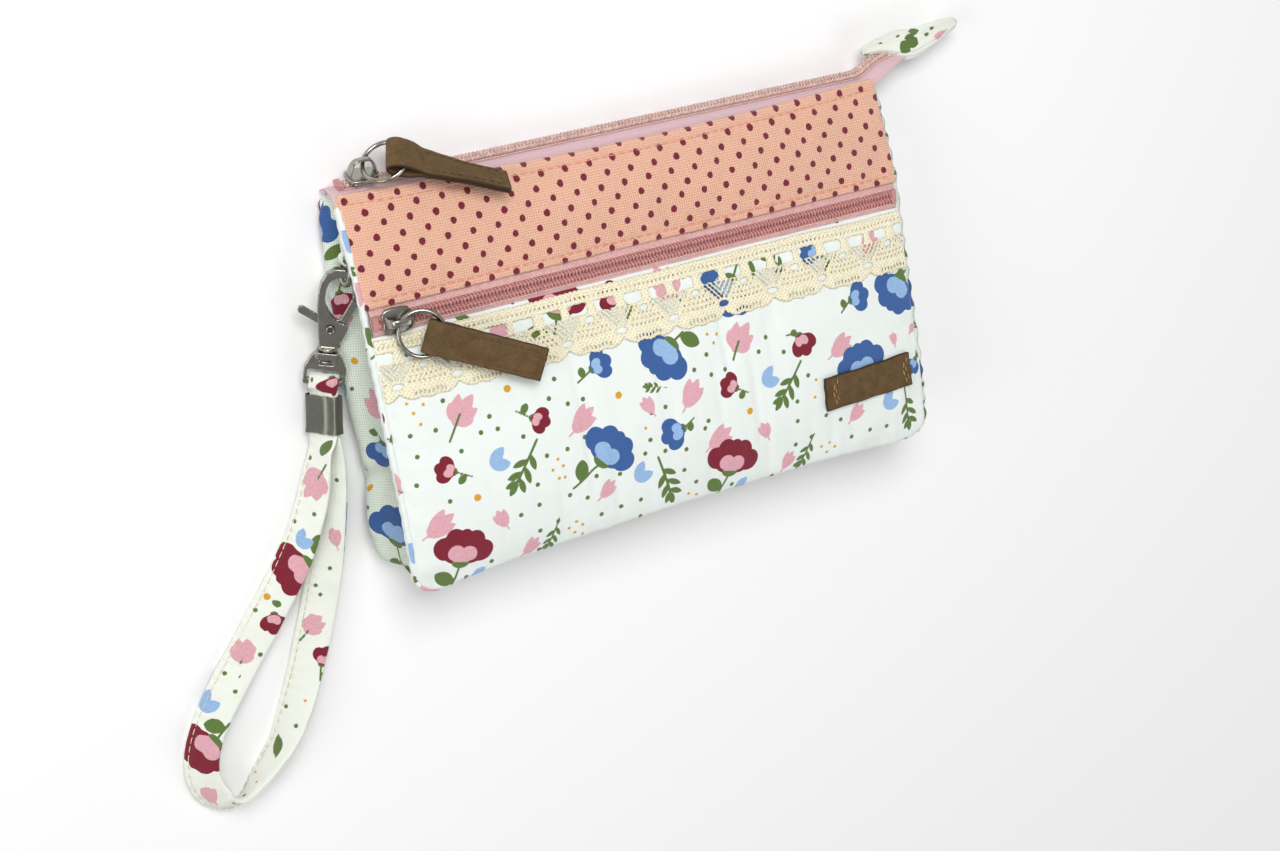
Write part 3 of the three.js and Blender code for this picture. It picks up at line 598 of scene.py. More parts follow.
# The side cloth's colours are dimmed a little: painted shade on the pouch's side.
M_GUSSET = print_material("printed_cotton_side", pitch=0.85, shade=0.97, weave_strength=1.0, weave_shade_depth=0.2, ground="ground3")
M_STRAP = print_material("printed_cotton_strap", pitch=0.55, ground="ground2", weave_strength=0.6, weave_shade_depth=0.06)
M_DOT = dotted_material()
M_TAPE = tape_material("zip_tape", "tape", "tape2")
M_TAPE_TOP = tape_material("zip_tape_pale", "tape2", "tape2", 0.5)
M_COIL = coil_material("zip_coil_rose", srgb("D69A95"), srgb("BC7E7B"))
M_COIL_TOP = coil_material("zip_coil_pale", srgb("E8CCC2"), srgb("C39E95"))
M_ZTHREAD = thread_material("zip_thread", srgb("EFC2BA"))
M_LACE = lace_material()
M_LEATHER = leather_material("brown_leather", srgb("5A4528"), srgb("705837"))
M_RAW = leather_material("raw_leather_edge", srgb("4A3523"), srgb("5C4530"), 0.9)
M_THREAD = thread_material("brown_thread", srgb("63401F"))
M_TTHREAD = thread_material("tan_thread", srgb("BE925C"))
M_STOP = coil_material("zip_end", srgb("C98F8B"), srgb("B27A78"))
M_PTHREAD = thread_material("peach_thread", srgb("F29C83"))
M_CTHREAD = thread_material("cream_thread", srgb("F1E2B8"))
M_WTHREAD = thread_material("white_thread", srgb("F2F2EA"))
M_METAL = metal_material("nickel", srgb("A3A198"), 0.25)
M_METAL_C = metal_material("nickel_dark", srgb("74756C"), 0.36)
M_METAL_D = metal_material("nickel_brushed", srgb("737369"), 0.3)
M_LINING = lining_material()

# ----------------------------------------------------------------- the print
# Generic flowers, buds, leaves and dots: kind, then points on the cloth in mm.
MOTIFS = [
    ('BM', (-87.5, -62.3), (-83.7, -50.2), (-91.6, -71.3), (-95, -65.9)), ('BM', (16.1, -57.6), (20.1, -45.6), (11.6, -65.3), (9.3, -61)), ('BB', (-33.2, -39.7), (-23.6, -31.3), (-44.2, -45.8), (-41, -39.4)),
    ('BB', (1.4, -5.4), (-7.5, -12.5), (5.9, -3), (9.1, -6.1)), ('BB', (75.7, -36.7), (74.4, -27.2), (76, -40.6), (70.9, -39.2)), ('SM', (-55.2, -17.7), (-49.6, -20.6), (-59.9, -14.4), (-56.6, -13.2)),
    ('SM', (-84.2, -29.3), (-90.1, -26.7), (-78.9, -32.1), (-82.6, -33.2)), ('SM', (22.8, -27.1), (17.4, -23.6), (27, -29.6), (24.1, -30.5)), ('SM', (50.6, -14.5), (53.3, -21.5), (45.9, -13.7), (49.1, -13.3)),
    ('SB', (-30.4, -7.6), (-23.5, -5.3), (-35.8, -10.9), (-34.3, -7.2)), ('SB', (-0.3, -35.1), (-8.3, -37.3), (4, -32.6), (2.5, -35.9)), ('SB', (100, -36.3), (96.6, -40.4), (101.2, -33.4), (101.7, -35.5)),
    ('SB', (74.2, -7.9), (81.9, -7), (69.8, -11.3), (70.8, -7.9)), ('BB', (99, -5.3), (92.9, -13.1), (101.7, -3.5), (100.1, -3.7)), ('PT', (-80.9, -13), (-73.3, -5.3), (-84.1, -19)),
    ('PT', (24.8, -13.3), (32.1, -5.7), (23.3, -17.1)), ('PB', (-41.8, -26.6), (-32, -19.8)), ('PB', (-10.8, -27.5), (-14, -20.8)),
    ('PB', (0.9, -28.7), (8.2, -19.8)), ('PB', (8.5, -45.9), (18.1, -39.8)), ('PB', (33.4, -48.7), (30.6, -41.9)),
    ('PB', (62.4, -25.6), (72.3, -20.2)), ('PB', (91.1, -28.8), (90.8, -23.7)), ('PB', (-97.9, -49.3), (-87.3, -42.9)),
    ('PB', (-69.4, -53), (-73, -45.8)), ('PB', (-64.3, -65.8), (-58.6, -59.9)), ('PB', (-34.7, -52.4), (-28.1, -47.3)),
    ('PB', (38.6, -62.8), (43.4, -56.5)), ('PB', (68.2, -52), (74.2, -46.5)), ('PB', (99.1, -26.5), (102.1, -23.5)),
    ('LB', (-71.8, -30.1), (-64.7, -27.2)), ('LB', (-20.1, -49.6), (-14.4, -44.8)), ('LB', (33.7, -28.1), (40.2, -24.6)),
    ('LB', (83.6, -50.2), (89.5, -46.2)), ('LB', (-83.1, -69.3), (-77.2, -67.9)), ('LB', (19.6, -65.5), (25.3, -62.9)),
    ('SP', (-55.7, -26.8), (-65.9, -41.5)), ('SP', (-11, -44.8), (-5.9, -61.5)), ('SP', (-4.7, -19.8), (-12.9, -17.8)),
    ('SP', (48.8, -25.2), (38.3, -38.6)), ('SP', (93.2, -46.8), (95.2, -61.8)), ('SP', (52, -53.4), (45.8, -64.2)),
    ('SP', (-50.9, -56.2), (-55.6, -66.7)), ('OD', (-61.1, -6.5)), ('OD', (-78.5, -39.6)),
    ('OD', (-22.4, -18.1)), ('OD', (26.5, -36.3)), ('Od', (-95.5, -3.6)),
    ('Od', (-94, -7.1)), ('Od', (-92.5, -11.1)), ('Od', (-90.3, -4.9)),
    ('Od', (-48.5, -33.8)), ('Od', (-46.9, -36.6)), ('Od', (-50.9, -37.1)),
    ('Od', (-49, -40.6)), ('Od', (-46.8, -40.8)), ('Od', (-14.7, -31.7)),
    ('Od', (-44, -58.7)), ('Od', (-46.9, -60.5)), ('Od', (-41.8, -60.5)),
    ('Od', (-44.7, -62.9)), ('Od', (-41.9, -64.2)), ('Od', (-0.2, -60.8)),
    ('Od', (3, -62.1)), ('Od', (1.8, -65)), ('Od', (5.1, -65.1)),
    ('Od', (59.2, -57.8)), ('Od', (55.6, -58.4)), ('Od', (61.4, -60.1)),
    ('Od', (57.8, -61.2)), ('Od', (54.9, -32.1)), ('Od', (53.6, -38.3)),
    ('Od', (15.1, -6)), ('Od', (17, -9.5)), ('Od', (18.9, -6.9)),
    ('GD', (-83.6, -5.2)), ('GD', (-69.1, -14)), ('GD', (-96.6, -14.2)),
    ('GD', (-88, -14.1)), ('GD', (-95.6, -21.6)), ('GD', (-80.9, -22.9)),
    ('GD', (-73.1, -18.5)), ('GD', (-67.2, -18.6)), ('GD', (-59.1, -23.2)),
    ('GD', (-47.5, -13.1)), ('GD', (-44, -7.4)), ('GD', (-41.2, -16.4)),
    ('GD', (-35.2, -16.5)), ('GD', (-52.2, -31.6)), ('GD', (-44.4, -31.3)),
    ('GD', (-37.2, -29.2)), ('GD', (-35.1, -43.8)), ('GD', (-26.1, -45.7)),
    ('GD', (-39.4, -50.6)), ('GD', (-45.7, -47.9)), ('GD', (-57, -40.7)),
    ('GD', (-97.7, -30.9)), ('GD', (-87.9, -38.6)), ('GD', (-57.3, -48.1)),
    ('GD', (-64.4, -49.8)), ('GD', (-51, -56.2)), ('GD', (-58, -57.7)),
    ('GD', (-26.6, -58.1)), ('GD', (-19.1, -57.5)), ('GD', (-19.1, -64.4)),
    ('GD', (-34.5, -58.6)), ('GD', (-11.7, -26.9)), ('GD', (-6, -26.3)),
    ('GD', (-13.6, -36.2)), ('GD', (-16, -40.7)), ('GD', (-8.6, -41.5)),
    ('GD', (-0.5, -43.1)), ('GD', (-1.9, -50.7)), ('GD', (2.7, -56.7)),
    ('GD', (9.5, -35.3)), ('GD', (7.9, -37.7)), ('GD', (7.3, -16.5)),
    ('GD', (13.2, -12.6)), ('GD', (13.6, -19.8)), ('GD', (19.4, -19.4)),
    ('GD', (33.7, -16.6)), ('GD', (37.7, -12.5)), ('GD', (43.6, -19.1)),
    ('GD', (51.9, -29.7)), ('GD', (45.7, -45.4)), ('GD', (46.2, -38)),
    ('GD', (64.1, -49.9)), ('GD', (57.9, -46.5)), ('GD', (76.7, -57.5)),
    ('GD', (84.2, -58.2)), ('GD', (68.8, -58.2)), ('GD', (51.3, -53.2)),
    ('GD', (44.4, -54.3)), ('GD', (44.3, -62.7)), ('GD', (17.6, -62.5)),
    ('GD', (34.8, -64.4)), ('GD', (102.7, -56.5)), ('GD', (93.9, -66.8)),
    ('GD', (-76.1, -64.4)), ('GD', (-85.4, -68)), ('GD', (-58.3, -65.5)),
]
EXTRA = [("BM", (-38, 12), (-34, 24), (-42, 3), (-47, 8)), ("BB", (30, 10), (22, 2), (36, 18), (38, 12)), ("SM", (-14, 12), (-20, 16), (-9, 8), (-12, 6)), ("SB", (66, 10), (60, 15), (71, 6), (68, 4)),
         ("PT", (6, 10), (1, 20), (10, 4)), ("PB", (-64, 8), (-56, 14)), ("LB", (-80, 8), (-74, 13)), ("SP", (52, 6), (44, 16)), ("SP", (-74, 22), (-66, 10)), ("PB", (84, 6), (90, 14)),
         ("GD", (-92, 12)), ("GD", (-52, 20)), ("GD", (-26, 6)), ("GD", (14, 22)), ("GD", (46, 22)), ("GD", (76, 20)), ("GD", (96, 12)), ("OD", (-86, 24)), ("OD", (58, 24)), ("GD", (-6, 24)), ("Od", (80, 26)), ("Od", (82, 23))]
PERIOD = 105.6
STOPS = []
for m in MOTIFS + EXTRA:
    STOPS.append((m[0], np.array(m[1:], float)))


def tile_list(x0, x1, y0, y1):
    """The motifs of the repeating pattern that fall in a rectangle of cloth."""
    base = [(k, p) for k, p in STOPS if -88.5 <= p[0][0] < 17.1]
    out = []
    H = 92.0
    for a in range(math.floor((x0 + 88) / PERIOD) - 1, math.ceil((x1 + 88) / PERIOD) + 1):
        for b in range(math.floor((y0 + 66) / H) - 1, math.ceil((y1 + 66) / H) + 1):
            for k, p in base:
                q = p + [a * PERIOD, b * H]
                if x0 - 22 < q[0][0] < x1 + 22 and y0 - 22 < q[0][1] < y1 + 22:
                    out.append((k, q))
    return out


def ell(p, c, rx, ry, ang=0.0):
    d = p - c
    ca, sa = math.cos(ang), math.sin(ang)
    x, y = d[:, 0] * ca + d[:, 1] * sa, -d[:, 0] * sa + d[:, 1] * ca
    k0 = np.sqrt((x / rx) ** 2 + (y / ry) ** 2) + 1e-9
    k1 = np.sqrt((x / rx ** 2) ** 2 + (y / ry ** 2) ** 2) + 1e-9
    return np.maximum(k0 * (k0 - 1) / k1, -min(rx, ry))


def seg(p, a, b, r):
    a, b = np.asarray(a, float), np.asarray(b, float)
    d = b - a
    t = np.clip(((p - a) @ d) / max(d @ d, 1e-9), 0, 1)
    return np.linalg.norm(p - a - t[:, None] * d, axis=1) - r


def leaf(p, a, b, w):
    """Pointed leaf from a to b, w wide at its middle."""
    a, b = np.asarray(a, float), np.asarray(b, float)
    L = np.linalg.norm(b - a)
    t = (b - a) / L
    n = np.array([-t[1], t[0]])
    R = (L * L / 4 + w * w / 4) / w
    m = (a + b) / 2
    return np.maximum(np.linalg.norm(p - m - n * (R - w / 2), axis=1), np.linalg.norm(p - m + n * (R - w / 2), axis=1)) - R


def fuse(*a):
    r = a[0]
    for x in a[1:]:
        r = np.minimum(r, x)
    return r


def motif(kind, q, p):
    """{layer: signed distance} of one motif at the points p."""
    if kind == "ST":
        return {"blue": seg(p, q[0], q[1], 1.3)}
    if kind == "LF":
        return {"green2": leaf(p, q[0], q[1], 3.9)}
    if kind in ("GD", "Od", "OD"):
        r = {"GD": 0.84, "Od": 0.62, "OD": 1.25}[kind]
        return {"green" if kind == "GD" else "orange": np.linalg.norm(p - q[0], axis=1) - r}
    d = q[1] - q[0]
    L = np.linalg.norm(d)
    f = d / L
    g = np.array([f[1], -f[0]])
    loc = np.stack([(p - q[0]) @ g, (p - q[0]) @ f], -1)
    A = np.array
    if kind in ("BM", "BB"):
        s = 12.6 / 12.4
        l = loc / s
        pet = fuse(ell(l, A([-6.7, 5.6]), 3.7, 4.1, 0.5), ell(l, A([-3.3, 8.9]), 3.6, 4.0, 0.2), ell(l, A([3.3, 8.9]), 3.6, 4.0, -0.2),
                   ell(l, A([6.7, 5.6]), 3.7, 4.1, -0.5), ell(l, A([0, 9.9]), 2.6, 3.2), ell(l, A([0, 4.6]), 7.6, 4.6)) * s
        heart = fuse(ell(l, A([-2.3, 4.3]), 2.9, 2.7, 0.5), ell(l, A([2.3, 4.3]), 2.9, 2.7, -0.5), ell(l, A([0, 2.3]), 3.1, 2.4)) * s
        cal = fuse(np.maximum(ell(l, A([0, 1.2]), 3.4, 2.4), l[:, 1] - 1.1) * s)
        stem = seg(p, q[0], q[2], 0.42)
        dirl = (q[3] - q[2])
        far = q[3] + dirl / np.linalg.norm(dirl) * 3.6
        lf = leaf(p, q[2] * 0.72 + q[0] * 0.28, far + (q[3] - far) * 0.1, 5.2)
        main, inner = ("maroon", "pink2") if kind == "BM" else ("blue", "ltblue2")
        return {main: pet, inner: heart, "green2": cal, "green": fuse(stem, lf)}
    if kind in ("SM", "SB"):
        s = L / 5.7
        l = loc / s
        pet = fuse(ell(l, A([-2.1, 3.2]), 1.9, 2.3, 0.45), ell(l, A([2.1, 3.2]), 1.9, 2.3, -0.45), ell(l, A([0, 4.4]), 1.9, 2.2), ell(l, A([0, 2.2]), 2.5, 2.0)) * s
        heart = fuse(ell(l, A([-0.8, 2.1]), 1.15, 1.5, 0.3), ell(l, A([0.9, 1.8]), 1.1, 1.3, -0.3)) * s
        stem = seg(p, q[0], q[2], 0.34)
        side = (q[3] - q[2])
        lf = leaf(p, q[2] * 0.6 + q[0] * 0.4, q[3] + side * 0.35, 2.6)
        cal = ell(l, A([0, 0.3]), 1.2, 0.8) * s
        main, inner = ("maroon", "pink2") if kind == "SM" else ("blue", "ltblue2")
        return {main: pet, inner: heart, "green": fuse(stem, lf, cal)}
    if kind == "PT":
        s = L / 10.5
        l = loc / s
        pet = fuse(leaf(l, (0.2, -1.5), (-3.8, 8.3), 4.2), leaf(l, (0, -1.5), (4.1, 7.6), 4.2), leaf(l, (0, -1), (0.4, 10.6), 4.6), leaf(l, (-1, -0.5), (-4.9, 4.2), 3.0), leaf(l, (1, -0.5), (5.0, 3.8), 3.0)) * s
        return {"pink": pet, "green2": fuse(seg(p, q[2], q[0] + d * 0.28, 0.4))}
    if kind == "PB":
        s = L / 8.5
        l = loc / s
        pet = fuse(leaf(l, (0, 0.6), (-2.3, 7.6), 2.9), leaf(l, (0, 0.4), (2.4, 7.2), 2.9), leaf(l, (0, 0.5), (0.1, 8.6), 3.0), ell(l, A([0, 2.8]), 1.9, 2.2)) * s
        return {"pink": fuse(pet, seg(p, q[0] - f * 1.0 * s, q[0] + f * 1.5 * s, 0.35))}
    if kind == "LB":
        s = L / 7.2
        l = loc / s
        return {"ltblue": fuse(leaf(l, (-0.5, -0.4), (-2.6, 6.4), 3.7), leaf(l, (0.3, -0.4), (3.0, 5.6), 3.9), ell(l, A([0, 1.6]), 2.3, 2.0)) * s}
    if kind == "SP":
        s = L / 15.0
        l = loc / s
        parts = [seg(l, (0, -1.5), (0.5, 12.5), 0.38)]
        for y0, sg, ln in [(3.0, -1, 4.6), (4.6, 1, 4.9), (6.8, -1, 5.0), (8.4, 1, 4.9), (10.4, -1, 4.3), (11.4, 1, 4.2)]:
            parts.append(leaf(l, (0.2, y0), (sg * ln * 0.72, y0 + ln * 0.78), 1.9))
        parts.append(leaf(l, (0.4, 11.6), (0.8, 16.2), 2.0))
        return {"green": fuse(*parts) * s}
    return {}


def paint(ob, uv, motifs=None):
    """Writes cloth coordinates and the print's distance fields on a mesh."""
    uv = np.asarray(uv, float)
    attr(ob, "cuv", uv)
    lo, hi = uv.min(0), uv.max(0)
    if motifs is None:
        motifs = tile_list(lo[0], hi[0], lo[1], hi[1])
    D = {k: np.full(len(uv), 3.0) for k, _ in LAYERS}
    for k, q in motifs:
        r = 24 if k in ("BM", "BB") else (18 if k == "SP" else 14)
        r = 3 if k in ("GD", "OD", "Od") else r
        m = np.nonzero((np.abs(uv[:, 0] - q[0][0]) < r) & (np.abs(uv[:, 1] - q[0][1]) < r))[0]
        if len(m) == 0:
            continue
        for lay, sd in motif(k, q, uv[m]).items():
            D[lay][m] = np.minimum(D[lay][m], sd)
    for k, v in D.items():
        attr(ob, "sd_" + k, np.clip(v, -3, 3))


def paint_dots(ob, uv, r=1.12):
    """Cloth coordinates and the distance to slanting rows of dots."""
    uv = np.asarray(uv, float)
    attr(ob, "cuv", uv)
    B = np.array([[8.95, 3.6], [0.0, 4.15]])
    c = uv @ np.linalg.inv(B).T - [-0.3333, 0.1557]
    best = np.full(len(uv), 9.0)
    for oi in (-1, 0, 1):
        for oj in (-1, 0, 1):
            i, j = np.round(c[:, 0]) + oi, np.round(c[:, 1]) + oj
            e = np.stack([c[:, 0] - i, c[:, 1] - j], -1) @ B.T
            jx = 0.18 * np.sin(i * 12.9 + j * 78.2)
            jy = 0.18 * np.sin(i * 39.3 + j * 11.1)
            rr = r * (1 + 0.05 * np.sin(i * 5.1 + j * 3.3))
            wob = 0.05 * np.sin(3 * np.arctan2(e[:, 1], e[:, 0]) + i)
            best = np.minimum(best, np.hypot(e[:, 0] - jx, (e[:, 1] - jy) * 0.94) - rr - wob)
    attr(ob, "sd_dot", np.clip(best, -3, 3))


# ------------------------------------------------------- the front's surface
EY = [-66.5, -60, -45, -20, 0, 19, 24, 29, 45, 58, 65.5]
EZ = [33.2, 34.2, 34.0, 31.2, 28.6, 26.4, 25.9, 25.4, 21.2, 17.2, 15.0]
PY = [-66.5, -50, -25, 0, 15, 19.6, 28.6, 45, 58, 65.5]
PZ = [0.8, 3.5, 5.2, 3.0, 0.3, 0, 0, 1.8, 1.2, 0.6]
_edge, _puff = spline_xy(EY, EZ), spline_xy(PY, PZ)


def edge_z(y):
    return _edge(np.clip(y, -71, 66))


def front_z(x, y):
    return edge_z(y) + _puff(np.clip(y, -66.5, 65.5)) * (1 - np.clip(np.abs(x) / HALF_W, 0, 1) ** 2.6)


def band_top(x):
    return 62.8 + 2.6 * (x / HALF_W) ** 2


def grid_sample(G, x0, x1, y0, y1, x, y):
    """Bilinear lookup in a grid G (ny, nx) that covers the rectangle."""
    ny, nx = G.shape
    u = np.clip((x - x0) / (x1 - x0) * (nx - 1), 0, nx - 1.001)
    v = np.clip((y - y0) / (y1 - y0) * (ny - 1), 0, ny - 1.001)
    i, j = u.astype(int), v.astype(int)
    fu, fv = u - i, v - j
    fu, fv = fu * fu * (3 - 2 * fu), fv * fv * (3 - 2 * fv)
    return G[j, i] * (1 - fu) * (1 - fv) + G[j, i + 1] * fu * (1 - fv) + G[j + 1, i] * (1 - fu) * fv + G[j + 1, i + 1] * fu * fv


def blur(G, n):
    for _ in range(n):
        P = np.pad(G, 1, mode="edge")
        G = (P[:-2, 1:-1] + P[2:, 1:-1] + P[1:-1, :-2] + P[1:-1, 2:] + 4 * G) / 8
    return G


def cloth_relief(tag, x0, x1, y0, y1, surface, step=3.0, shrink=-0.03, pressure=2.0, frames=18, cap=0.9, pulls=()):
    """Wrinkles of a padded panel: cloth pinned along its seams, a little larger than its outline and
    pushed out by its filling. Returns a grid of heights in mm. pulls is not used."""
    nx, ny = int((x1 - x0) / step) + 1, int((y1 - y0) / step) + 1
    X, Y = np.meshgrid(np.linspace(x0, x1, nx), np.linspace(y0, y1, ny))
    Z = surface(X, Y)
    P = np.stack([X, Y, Z], -1).reshape(-1, 3) * 0.01
    jit = RNG.normal(size=(ny, nx)) * 0.0022
    P[:, 2] += blur(jit, 1).ravel()
    me = bpy.data.meshes.new("sim_" + tag)
    me.from_pydata([tuple(p) for p in P], [], grid_faces(nx - 1, ny - 1).tolist())
    ob = bpy.data.objects.new("sim_" + tag, me)
    bpy.context.scene.collection.objects.link(ob)
    pin = ob.vertex_groups.new(name="pin")
    ids = [j * nx + i for j in range(ny) for i in range(nx) if i in (0, nx - 1) or j in (0, ny - 1)]
    pin.add(ids, 1.0, "REPLACE")
    md = ob.modifiers.new("cloth", "CLOTH")
    s = md.settings
    s.quality, s.mass = 7, 0.25
    s.tension_stiffness = s.compression_stiffness = 12
    s.shear_stiffness, s.bending_stiffness = 8, 0.35
    s.vertex_group_mass = "pin"
    s.shrink_min = shrink
    s.use_pressure, s.uniform_pressure_force = True, pressure
    s.effector_weights.gravity = 0.0
    md.collision_settings.use_collision = False
    md.point_cache.frame_start, md.point_cache.frame_end = 1, frames
    sc = bpy.context.scene
    for f in range(1, frames + 1):
        sc.frame_set(f)
    dg = bpy.context.evaluated_depsgraph_get()
    em = ob.evaluated_get(dg).to_mesh()
    co = np.zeros(len(em.vertices) * 3)
    em.vertices.foreach_get("co", co)
    ob.evaluated_get(dg).to_mesh_clear()
    sc.frame_set(1)
    bpy.data.objects.remove(ob, do_unlink=True)
    bpy.data.meshes.remove(me)
    H = co.reshape(ny, nx, 3)[..., 2] * 100 - Z
    if not np.isfinite(H).all():
        return np.zeros((ny, nx))
    H = H - blur(H, 26)
    H = blur(H, 1)
    m = max(np.abs(H).max(), 1e-6)
    H = H * min(1.0, cap / m) if m > cap else H * min(2.2, cap / m)
    return H


REL_LOW = cloth_relief("lower", -103, 103, -69, 19.6, front_z, shrink=-0.035, pressure=2.2, cap=1.0)
REL_UP = cloth_relief("upper", -103, 103, 28.6, 64, front_z, shrink=-0.02, pressure=1.2, cap=0.6)
YB = spline_xy([-103, -96, -83, -57, -28, 4, 33, 61, 90, 103], [-69.8, -70.4, -68.8, -66.9, -66.0, -65.2, -65.2, -65.6, -67.4, -67.0])


def low_z(x, y):
    z = front_z(x, y) + grid_sample(REL_LOW, -103, 103, -69, 19.6, x, y)
    d = np.minimum(HALF_W - np.abs(x), y - YB(x))
    # puckers along the seams
    z = z + 0.22 * np.exp(-np.maximum(d, 0) / 5) * np.sin((x + 0.6 * y) * 1.15 + 1.5 * np.sin(x * 0.23)) * smoothstep(0, 2, d)
    z = z + 0.35 * bumps(x, y, 34, 1) * smoothstep(0, 12, d) + 0.14 * bumps(x * 0.8, y * 1.4, 13, 2) * smoothstep(0, 6, d)
    # the padding is pressed flat under the lace's two seams
    z = z - 0.35 * np.exp(-((y - 17.6) / 1.2) ** 2) - 0.2 * np.exp(-((y - 13.8) / 1.2) ** 2)
    return z


def up_z(x, y):
    z = front_z(x, y) + grid_sample(REL_UP, -103, 103, 28.6, 64, x, y)
    t = band_top(x)
    for c, a in ((t - 3.4, 0.42), (BAND_BOTTOM + 2.7, 0.42)):
        z = z - a * np.exp(-((y - c) / 0.75) ** 2) * (0.75 + 0.25 * np.sin(x * 1.8))
        z = z + 0.12 * np.exp(-((y - c) / 3.0) ** 2) * np.sin(x * 1.8 + 0.5 * np.sin(x * 0.31))
    z = z + 0.22 * bumps(x, y, 26, 3) * smoothstep(0, 6, HALF_W - np.abs(x))
    return z


def roll(d, r):
    """How far a surface drops at distance d from an edge of radius r."""
    t = np.clip(1 - d / r, 0, 1)
    return r * (1 - np.sqrt(1 - t * t))


def end_columns(n_mid, n_end, half, r):
    mid = np.linspace(-(half - r), half - r, n_mid + 1)
    th = np.linspace(0, np.pi / 2, n_end + 1)[1:]
    e = (half - r) + r * np.sin(th)
    return np.concatenate([-e[::-1], mid, e])


# -------------------------------------------------------------- front panels
def build_front():
    q = 1
    xs = end_columns(382 // q if q == 1 else 190, 16 if q == 1 else 7, HALF_W, 8.0)
    nu = len(xs) - 1
    nv = 180 // q
    k = 6 if nu % 6 == 0 else 2
    # lower panel
    rc = 8.0
    t = np.clip((np.abs(xs) - (HALF_W - rc)) / rc, 0, 1)
    y0 = YB(xs) + rc * (1 - np.sqrt(1 - t * t))
    v = np.linspace(0, 1, nv + 1)
    v = 0.5 * v + 0.5 * (1 - np.cos(np.pi * v)) / 2
    X = np.broadcast_to(xs, (nv + 1, nu + 1))
    Y = y0 + (LOWER_TOP - y0) * v[:, None]
    corner = np.hypot(np.maximum(np.abs(X) - (HALF_W - rc), 0), np.maximum(YB(X) + rc - Y, 0))
    d_bl = np.where((np.abs(X) > HALF_W - rc) & (Y < YB(X) + rc), rc - corner, np.minimum(HALF_W - np.abs(X), Y - YB(X)))
    d_bl = np.maximum(d_bl, 0)
    Z = low_z(X, Y) - roll(d_bl, 2.0) - roll(LOWER_TOP - Y, 0.8)
    top = np.stack([X, Y, Z], -1)
    Zb = np.minimum(Z - 0.15, front_z(X, Y) - 1.5)
    bot = np.stack([X * 0.998, np.clip(Y, YB(X) + 0.3, 19.4), Zb], -1)
    V, F, n0 = slab(top, bot, nu, nv, k)
    ob = make("front_panel", V, F, M_PRINT, "pouch", "print_fabric", ["front_lower_panel"])
    outward(ob)
    paint(ob, V[:, :2], [s for s in STOPS])
    # dotted band
    nv2 = 72 // q if q == 1 else 36
    xs2 = end_columns(382 // q if q == 1 else 190, 16 if q == 1 else 7, HALF_W, 3.0)
    X = np.broadcast_to(xs2, (nv2 + 1, nu + 1))
    v = np.linspace(0, 1, nv2 + 1)
    v = 0.5 * v + 0.5 * (1 - np.cos(np.pi * v)) / 2
    tl = band_top(xs2) - 1.5 * np.clip((np.abs(xs2) - 101) / 2, 0, 1) ** 2
    Y = BAND_BOTTOM + (tl - BAND_BOTTOM) * v[:, None]
    Z = up_z(X, Y) - roll(HALF_W - np.abs(X), 1.8) - roll(np.maximum(tl - Y, 0), 1.1) - roll(Y - BAND_BOTTOM, 0.8)
    top = np.stack([X, Y, Z], -1)
    bot = np.stack([X * 0.998, np.clip(Y, BAND_BOTTOM + 0.2, tl - 0.2), np.minimum(Z - 0.15, front_z(X, Y) - 1.5)], -1)
    V, F, n0 = slab(top, bot, nu, nv2, k)
    ob = make("dotted_band", V, F, M_DOT, "pouch", "dotted_fabric", ["front_upper_band"])
    outward(ob)
    paint_dots(ob, V[:, :2])
    # seams
    x = np.linspace(-100.5, 100.5, 700)
    for nm, yy in (("band_stitch_top", band_top(x) - 3.4), ("band_stitch_bottom", np.full_like(x, BAND_BOTTOM + 2.7))):
        P = np.stack([x, yy, up_z(x, yy) + 0.06], -1)
        V, F = stitch_geo(P, (0, 0.2, 0.98), 2.5, 0.85, 0.2)
        make(nm, V, F, M_PTHREAD, "pouch", "dotted_fabric")


# ------------------------------------------------------------------- the lace
LACE_P = 20.2


